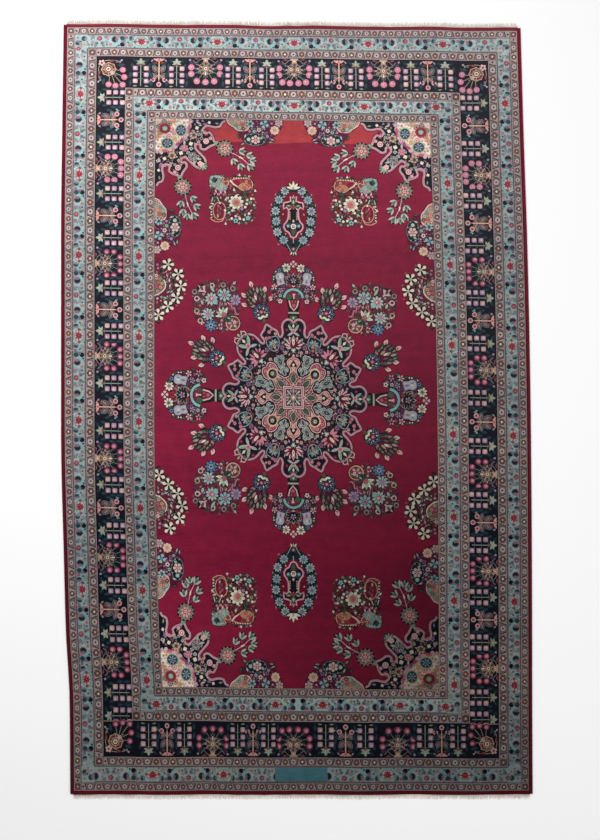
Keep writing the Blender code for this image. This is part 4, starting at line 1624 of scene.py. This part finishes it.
def pile_band(band, material, points, spots, faces, colours, inner, outer):
    """One band of pile as a closed shell, with its yarns and its own map for baking."""
    used, compact = np.unique(faces, return_inverse=True)
    compact = compact.reshape(faces.shape)
    mesh = bpy.data.meshes.new(band.name)
    mesh.from_pydata(spots[used].tolist(), [], compact.tolist())
    corners = points[used][compact].reshape(-1, 2)
    middles = points[faces].mean(axis=1).repeat(3, axis=0)
    flat = frame_map(corners, middles, inner, outer) if inner else field_map(corners, middles, outer)
    tint = mesh.color_attributes.new("yarn", "FLOAT_COLOR", "CORNER")
    tint.data.foreach_set("color", colours.repeat(3, axis=0).astype(np.float32).ravel())
    layer = mesh.uv_layers.new(name="OFBake")
    layer.data.foreach_set("uv", (flat * (1, MAP_TOP)).astype(np.float32).ravel())
    close_shell(mesh)
    add_piece(band.name, mesh, material, BODY)


def field_map(places, middles, outer):
    """Where the places of half the field lie on its map: its head part and its foot part, side
    by side. Each place is given with the middle of its own triangle."""
    across = np.abs(places[:, 0]) / outer[0]
    along = np.abs(places[:, 1]) / outer[1]
    column = middles[:, 1] > 0
    return np.stack([(column + 0.02 + 0.96 * across) / 2, 0.01 + 0.98 * along], axis=1)


ROWS = 10
ROWS_A_SIDE = 3
ROWS_AN_END = 2


def frame_map(places, middles, inner, outer):
    """Where a frame-shaped band's places lie on its map: unrolled, in rows of about a metre."""
    depths = (np.abs(middles) - inner) / np.subtract(outer, inner)
    on_side = depths[:, 0] >= depths[:, 1]
    flat = np.zeros_like(places)
    first = 0
    for axis, count in ((1, ROWS_A_SIDE), (0, ROWS_AN_END)):
        across = 1 - axis
        length, width = outer[axis], outer[across] - inner[across]
        for sign in (-1, 1):
            mine = (on_side == (axis == 1)) & (middles[:, across] * sign > 0)
            row = np.clip((middles[:, axis] / length + 1) / 2 * count, 0, count - 0.01).astype(int)
            along = (places[:, axis] / length + 1) / 2 * count - row
            depth = (np.abs(places[:, across]) - inner[across]) / width
            flat[mine, 0] = (0.04 + 0.92 * along)[mine]
            flat[mine, 1] = ((first + row + 0.06 + 0.88 * depth) / ROWS)[mine]
            first += count
    return flat


def close_shell(mesh):
    """The sides and the underside of a band of pile, down in the foundation."""
    shell = bmesh.new()
    shell.from_mesh(mesh)
    flat = shell.loops.layers.uv["OFBake"]
    tint = shell.loops.layers.float_color["yarn"]
    rim = [edge for edge in shell.edges if edge.is_boundary]
    grown = bmesh.ops.extrude_edge_only(shell, edges=rim)["geom"]
    for vert in grown:
        if isinstance(vert, bmesh.types.BMVert):
            vert.co.z = PILE_FOOT
    walls = [face for face in grown if isinstance(face, bmesh.types.BMFace)]
    lower = [edge for edge in grown if isinstance(edge, bmesh.types.BMEdge)]
    under = bmesh.ops.triangle_fill(shell, edges=lower, use_beauty=True)["geom"]
    hidden = [*walls, *(face for face in under if isinstance(face, bmesh.types.BMFace))]
    madder = (*linear(YARNS["madder"]), 1)
    for face in hidden:
        for loop in face.loops:
            place = loop.vert.co
            loop[flat].uv = (0.5 + place.x * 0.4, (1 + MAP_TOP) / 2 + place.y * 0.006 + place.z * 0.2)
            loop[tint] = madder
    bmesh.ops.triangulate(shell, faces=walls)
    bmesh.ops.recalc_face_normals(shell, faces=shell.faces)
    shell.to_mesh(mesh)
    shell.free()


# ---- foundation, selvedges, fringes
FOUNDATION_INSET = 1.0  # mm, inside the pile's edge
FOUNDATION_CELL = 55  # mm


def add_piece(name, mesh, material, node):
    """A finished mesh as a piece of the rug."""
    mesh.materials.append(material)
    piece = bpy.data.objects.new(name, mesh)
    scene.collection.objects.link(piece)
    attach(piece, "root")
    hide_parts(node)
    return piece


def new_piece(name, shell, material, node):
    """A closed shell as a piece of the rug."""
    bmesh.ops.recalc_face_normals(shell, faces=shell.faces)
    mesh = bpy.data.meshes.new(name)
    shell.to_mesh(mesh)
    shell.free()
    return add_piece(name, mesh, material, node)


def bridge(shell, ring, other):
    """Faces between two closed rings of points."""
    for i in range(len(ring)):
        shell.faces.new((ring[i - 1], ring[i], other[i], other[i - 1]))


def tube(shell, rings):
    """Faces from ring to ring, and one over each end."""
    for ring, other in zip(rings, rings[1:]):
        bridge(shell, ring, other)
    shell.faces.new(rings[0])
    shell.faces.new(rings[-1])


def build_foundation(cloth, material):
    """The woven ground that carries the knots: one flat cloth under all of the pile."""
    half_x, half_y = (half - FOUNDATION_INSET for half in HALF)
    across = np.linspace(-half_x, half_x, 2 * round(half_x / FOUNDATION_CELL) + 1)
    along = np.linspace(-half_y, half_y, 2 * round(half_y / FOUNDATION_CELL) + 1)
    flat = np.array([(x, y) for y in along for x in across])
    places = warp(cloth, flat)
    shell = bmesh.new()
    levels = [[shell.verts.new((x, y, z)) for x, y in places] for z in (0, FOUNDATION_TOP)]
    wide, tall = len(across), len(along)
    for spots in levels:
        for j in range(tall - 1):
            for i in range(wide - 1):
                k = j * wide + i
                shell.faces.new((spots[k], spots[k + 1], spots[k + wide + 1], spots[k + wide]))
    foot = list(range(wide))
    head = [(tall - 1) * wide + i for i in reversed(range(wide))]
    right = [j * wide + wide - 1 for j in range(1, tall - 1)]
    left = [j * wide for j in reversed(range(1, tall - 1))]
    rim = [*foot, *right, *head, *left]
    bridge(shell, [levels[0][k] for k in rim], [levels[1][k] for k in rim])
    return new_piece("foundation", shell, material, BODY)


CORD_RADIUS = 0.0034
CORD_END = 0.004  # a cord isn't felt this near to its ends
GROOVE = 0.45  # the depth of the groove between the two cords, in radii
WRAP = 0.0036  # along the edge, from one turn of the overcasting to the next
WRAP_DIP = 0.10  # how much thinner the cord is between two turns
WRAP_LEAN = 0.0016  # how far a turn runs on as it crosses the cords


def selvedge_section(swell):
    """Two cords side by side, as (out from the cloth, height), swollen or drawn in."""
    r = CORD_RADIUS
    points = []
    for centre, start, stop in ((3 * r, -120, 120), (r, 60, 300)):
        for step in range(7):
            a = math.radians(start + (stop - start) * step / 6)
            points.append((centre + r * swell * math.cos(a), r + r * swell * math.sin(a)))
        groove = 1 + (1 - GROOVE) * (1 if centre > 2 * r else -1) * swell
        points.append((2 * r, r * groove))
    return points


def build_selvedge(name, side, material):
    """An edge overcast with wool, turn by turn, over two cords."""
    tree, low, high = solid(name)
    ys = np.linspace(low.y + CORD_END, high.y - CORD_END, PROBES)
    start = side * (max(abs(low.x), abs(high.x)) + 1)
    outer = felt(tree, [(start, y) for y in ys], (-side, 0), 0, CORD_RADIUS)
    turns = round((high.y - low.y) / WRAP)
    rng = random.Random(3 + side)
    shell = bmesh.new()
    rings = []
    for k in range(2 * turns + 1):
        y = low.y + WRAP_LEAN + (high.y - low.y - 2 * WRAP_LEAN) * k / (2 * turns)
        edge = np.interp(y, ys, outer)
        swell = (1 if k % 2 else 1 - WRAP_DIP) - rng.uniform(0, 0.04)
        ring = []
        for out, z in selvedge_section(swell):
            lean = WRAP_LEAN * (out / (2 * CORD_RADIUS) - 1) * (1 if z > CORD_RADIUS else -1) * 0.5
            x = edge - side * (4 * CORD_RADIUS - out)
            ring.append(shell.verts.new((x, y + lean, z)))
        rings.append(ring)
    tube(shell, rings)
    return new_piece(name.replace("selvedge", "overcast"), shell, material, name)


# The skirt's section, as the distance out from the cloth, and the height.
SKIRT = rows("0.0004,0.0002 0.0004,0.0027 0.002,0.003 0.0045,0.0026 0.006,0.0012 0.006,0.0002")
SKIRT_DEPTH = SKIRT[-1][0]
SKIRT_SLICE = 0.02
STRAND_PITCH = 0.0031
STRAND_LENGTH = 0.0195
STRAND_WIDTH = 0.0011
STRAND_SHARES = (0, 0.3, 0.62, 1)
STRAND_SIDES = 5
STRAND_SHIFT = 0.0007
STRAND_TUCK = 0.0012  # how far a strand starts inside the skirt


def strand(shell, x, y, end, rng):
    """A knotted pair of warps, five-sided, from the skirt down to the floor."""
    long = STRAND_LENGTH * rng.uniform(0.66, 1)
    sway = rng.gauss(0, 0.0016)
    curl = rng.gauss(0, 0.0012)
    thick = STRAND_WIDTH * rng.uniform(0.8, 1.25)
    drop = rng.uniform(0.0, 0.0006)
    rings = []
    for share in STRAND_SHARES:
        width = thick * (1.15 - 0.55 * share)
        px = x + sway * share + curl * math.sin(3.1 * share)
        pz = max(width, 0.0018 * (1 - share) + width + drop * share)
        py = y + end * long * share
        ring = []
        for i in range(STRAND_SIDES):
            x_out, z_up = polar(width, 360 / STRAND_SIDES * i)
            ring.append(shell.verts.new((px + x_out, py, pz - z_up)))
        rings.append(ring)
    tube(shell, rings)


def build_fringe(cloth, name, end, material):
    """The end of the warps: a narrow woven skirt, and a short trimmed fringe."""
    low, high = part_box(name)
    rng = random.Random(20 + end)
    shell = bmesh.new()
    left, right = low[0] + 0.001, high[0] - 0.001
    slices = []
    count = round((right - left) / SKIRT_SLICE)
    for k in range(count + 1):
        x = left + (right - left) * k / count
        y = cloth.end(x, end)
        slices.append([shell.verts.new((x, y + end * out, z)) for out, z in SKIRT])
    tube(shell, slices)
    count = round((right - left) / STRAND_PITCH)
    for k in range(count):
        x = left + (right - left) * (k + 0.5) / count + rng.uniform(-1, 1) * STRAND_SHIFT
        strand(shell, x, cloth.end(x, end) + end * (SKIRT_DEPTH - STRAND_TUCK), end, rng)
    return new_piece(name.replace("fringe", "cotton_fringe"), shell, material, name)


# ---- materials
class Value:
    """A number that varies over a surface, so that shader maths reads as Python."""

    def __init__(self, finish, socket):
        self.finish = finish
        self.socket = socket

    def maths(self, operation, first, second):
        node = self.finish.node("Math", {"operation": operation}, {0: first, 1: second})
        return Value(self.finish, node.outputs[0])

    def __add__(self, other):
        return self.maths("ADD", self, other)

    def __sub__(self, other):
        return self.maths("SUBTRACT", self, other)

    def __mul__(self, other):
        return self.maths("MULTIPLY", self, other)

    def __rsub__(self, other):
        return self.maths("SUBTRACT", other, self)

    __radd__ = __add__
    __rmul__ = __mul__

    def power_of(self, base):
        """The base raised to this value."""
        return self.maths("POWER", base, self)


class Finish:
    """A material's shader, and the nodes that feed it."""

    def __init__(self, name, **constants):
        self.material = bpy.data.materials.new(name)
        self.material.use_nodes = True
        self.tree = self.material.node_tree
        self.shader = self.tree.nodes["Principled BSDF"]
        for socket, value in constants.items():
            self.shader.inputs[socket.replace("_", " ")].default_value = value

    def node(self, kind, settings, sockets):
        node = self.tree.nodes.new("ShaderNode" + kind)
        for name, value in settings.items():
            setattr(node, name, value)
        for key, value in sockets.items():
            self.feed(node.inputs[key], value)
        return node

    def feed(self, socket, value):
        if isinstance(value, Value):
            value = value.socket
        if isinstance(value, bpy.types.NodeSocket):
            self.tree.links.new(value, socket)
        else:
            socket.default_value = value

    def place(self, scale=(1, 1, 1)):
        """The place on the rug, in metres, stretched."""
        coordinates = self.node("TexCoord", {}, {})
        mapping = self.node("Mapping", {}, {"Vector": coordinates.outputs["Object"], "Scale": scale})
        return mapping.outputs["Vector"]

    def noise(self, size, stretch=(1, 1, 1), detail=2.0):
        """Even noise of about -0.5 to 0.5, with features of the given size in metres."""
        place = self.place(tuple(s / size for s in stretch))
        node = self.node("TexNoise", {}, {"Vector": place, "Scale": 1.0, "Detail": detail})
        return Value(self, node.outputs["Fac"]) - 0.5

    def axis(self, name):
        parts = self.node("SeparateXYZ", {}, {0: self.place()})
        return Value(self, parts.outputs[name])

    def scaled(self, colour, amount):
        """A colour made brighter or darker by a varying amount."""
        node = self.node("VectorMath", {"operation": "SCALE"}, {0: colour, "Scale": amount})
        return node.outputs[0]

    def mixed(self, share, first, second, blend="MIX"):
        settings = {"data_type": "RGBA", "blend_type": blend, "clamp_factor": True}
        return self.node("Mix", settings, {0: share, 6: first, 7: second}).outputs[2]

    def show(self, **sockets):
        for name, value in sockets.items():
            self.feed(self.shader.inputs[name.replace("_", " ")], value)

    def bump(self, height, strength, distance):
        node = self.node("Bump", {}, {"Height": height, "Strength": strength, "Distance": distance})
        self.show(Normal=node.outputs[0])


FADE_AND_LIGHT_ALONG = 1.43  # how many times lighter the colours are for each metre towards the head: partly fading, partly painted light
# painted shade: the colours darken to the right, by this share for each metre
PAINTED_SHADE_ACROSS = 0.82
FIELD_PAINTED_SHADE_ACROSS = 0.6  # painted shade: the field darkens more to the right, and most of all near the foot
MIDDLE_LIGHT = 0.62


def pile_wool(name, in_field):
    """Knotted wool: each yarn in its own colour, uneven from knot to knot and from row to row,
    partly faded and partly painted light towards the head end, with painted shade to the right."""
    wool = Finish(name, Roughness=0.9, Specular_IOR_Level=0.05)
    yarn = wool.node("Attribute", {"attribute_name": "yarn"}, {}).outputs["Color"]
    knots = wool.noise(0.0042, detail=1.0)
    tufts = wool.noise(0.0015, detail=1.0)
    wefts = wool.noise(0.006, stretch=(0.12, 1, 1), detail=1.0)
    patches = wool.noise(0.05, detail=3.0)
    abrash = wool.noise(0.3, stretch=(0.16, 1, 1))
    streaks = wool.noise(0.035, stretch=(0.07, 1, 1))
    amount = 1.0 + knots * 0.6 + wefts * 0.3 + patches * 0.4 + abrash * 0.8 + streaks * 0.4
    along, across = wool.axis("Y"), wool.axis("X")
    # Painted light and shade: lighter towards the head, partly as fading, and darker to the right.
    if in_field:
        light = along.power_of(FADE_AND_LIGHT_ALONG) * (across * (1.0 - along)).power_of(FIELD_PAINTED_SHADE_ACROSS)
    else:
        light = along.power_of(FADE_AND_LIGHT_ALONG) * across.power_of(PAINTED_SHADE_ACROSS)
    colour = wool.scaled(yarn, amount * light * MIDDLE_LIGHT)
    colour = wool.mixed(0.15 + abrash * 2.0 + streaks, colour, (1.0, 0.86, 0.76, 1), "MULTIPLY")
    # painted sheen: a faint grey veil over the colours that grows towards the head end
    colour = wool.mixed(0.009 + along * 0.014, colour, (0.5, 0.42, 0.4, 1))
    wool.show(Base_Color=colour, Roughness=0.85 + knots * 0.2)
    wool.bump(knots + wefts * 0.5 + tufts * 0.7, 0.8, 0.0012)
    return wool.material


def overcast_wool():
    """Madder wool wound round the edge cords, uneven from thread to thread and in patches."""
    wool = Finish("overcast selvedge wool", Roughness=0.9, Specular_IOR_Level=0.15)
    threads = wool.noise(0.0012, stretch=(0.15, 1, 1))
    patches = wool.noise(0.06, detail=3.0)
    amount = 1.0 + threads * 0.9 + patches * 0.7
    # painted light: lighter towards the head end, partly as fading, as on the pile
    light = wool.axis("Y").power_of(FADE_AND_LIGHT_ALONG)
    wool.show(Base_Color=wool.scaled(linear(YARNS["madder"]), amount * light * MIDDLE_LIGHT))
    wool.bump(threads, 0.5, 0.0006)
    return wool.material


def fringe_cotton():
    """Undyed cotton warps, greyed here and there and tinged pink by the madder."""
    cotton = Finish("cotton warp fringe", Roughness=0.95, Specular_IOR_Level=0.1)
    fibres = cotton.noise(0.0011, stretch=(1, 0.2, 1))
    dirt = cotton.noise(0.11, detail=3.0)
    tinge = cotton.noise(0.35, stretch=(1, 0.2, 1), detail=1.0)
    clean, grey = linear((238, 232, 220)), linear((202, 194, 182))
    base = cotton.mixed(0.5 + dirt * 2.0, (*clean, 1), (*grey, 1))
    base = cotton.mixed(tinge * 1.6, base, (*linear((226, 176, 186)), 1))
    cotton.show(Base_Color=cotton.scaled(base, 1.0 + fibres * 0.5))
    cotton.bump(fibres, 0.5, 0.0005)
    return cotton.material


def knot_backs():
    """The plain back of the knots, in close rows between the wefts."""
    back = Finish("knot backs and wefts", Roughness=0.9, Specular_IOR_Level=0.12)
    weave = back.node(
        "TexWave",
        {"wave_type": "BANDS", "bands_direction": "Y"},
        {"Vector": back.place(), "Scale": 95.0, "Distortion": 1.2, "Detail": 2.0, "Detail Scale": 3.0},
    )
    ribs = Value(back, weave.outputs["Fac"])
    knots = back.noise(0.003, stretch=(1, 0.7, 1), detail=1.0)
    patches = back.noise(0.3, detail=3.0)
    wool_share = ribs + knots * 1.4
    base = back.mixed(wool_share, (*linear((150, 128, 112)), 1), (*linear((112, 40, 54)), 1))
    back.show(Base_Color=back.scaled(base, 1.0 + knots * 0.5 + patches * 0.4))
    back.bump(ribs + knots * 0.6, 0.6, 0.0008)
    return back.material


# ---- stage
FLOOR_SIZE = 200
FLOOR_GAP = 0.0002  # under the rug


def build_floor():
    bpy.ops.mesh.primitive_plane_add(size=FLOOR_SIZE, location=(0, 0, -FLOOR_GAP))
    floor = bpy.context.object
    floor.name = "floor"
    bpy.ops.object.transform_apply(location=True)
    finish = Finish("pale floor", Roughness=0.7)
    finish.show(Base_Color=(0.9, 0.9, 0.9, 1))
    floor.data.materials.append(finish.material)


def build_lights():
    world = bpy.data.worlds.new("studio")
    scene.world = world
    world.use_nodes = True
    background = world.node_tree.nodes["Background"]
    background.inputs["Color"].default_value = (1.0, 1.0, 1.0, 1)
    background.inputs["Strength"].default_value = 0.55
    for name, place, size, power in (
        ("key", (-1.6, 2.2, 4.2), 3.0, 150),
        ("fill", (2.6, -1.8, 4.6), 3.0, 55),
    ):
        lamp = bpy.data.lights.new(name, "AREA")
        lamp.size = size
        lamp.energy = power
        holder = bpy.data.objects.new(name, lamp)
        holder.location = place
        holder.rotation_euler = (-Vector(place)).to_track_quat("-Z", "Y").to_euler()
        scene.collection.objects.link(holder)


PIXEL = 0.004475  # of the photograph, on the rug
FRAME_HEIGHT = 840 * PIXEL
VIEW_MIDDLE = (0.0141, -0.0467)
LENS = 55
SENSOR = 36


def build_camera():
    camera = bpy.data.cameras.new("camera")
    camera.lens = LENS
    camera.sensor_fit = "VERTICAL"
    camera.sensor_height = SENSOR
    holder = bpy.data.objects.new("camera", camera)
    height = FRAME_HEIGHT * LENS / SENSOR
    holder.location = (*VIEW_MIDDLE, height)
    scene.collection.objects.link(holder)
    scene.camera = holder


# ---- the whole rug
def main():
    cloth = Cloth(BODY)
    overcast, cotton = overcast_wool(), fringe_cotton()
    build_pile(cloth)
    foundation = build_foundation(cloth, knot_backs())
    sewn_on = [
        build_selvedge("selvedge_left", -1, overcast),
        build_selvedge("selvedge_right", 1, overcast),
        build_fringe(cloth, "fringe_head", 1, cotton),
        build_fringe(cloth, "fringe_foot", -1, cotton),
    ]
    build_floor()
    build_lights()
    build_camera()
    scene.view_settings.view_transform = "Standard"


main()
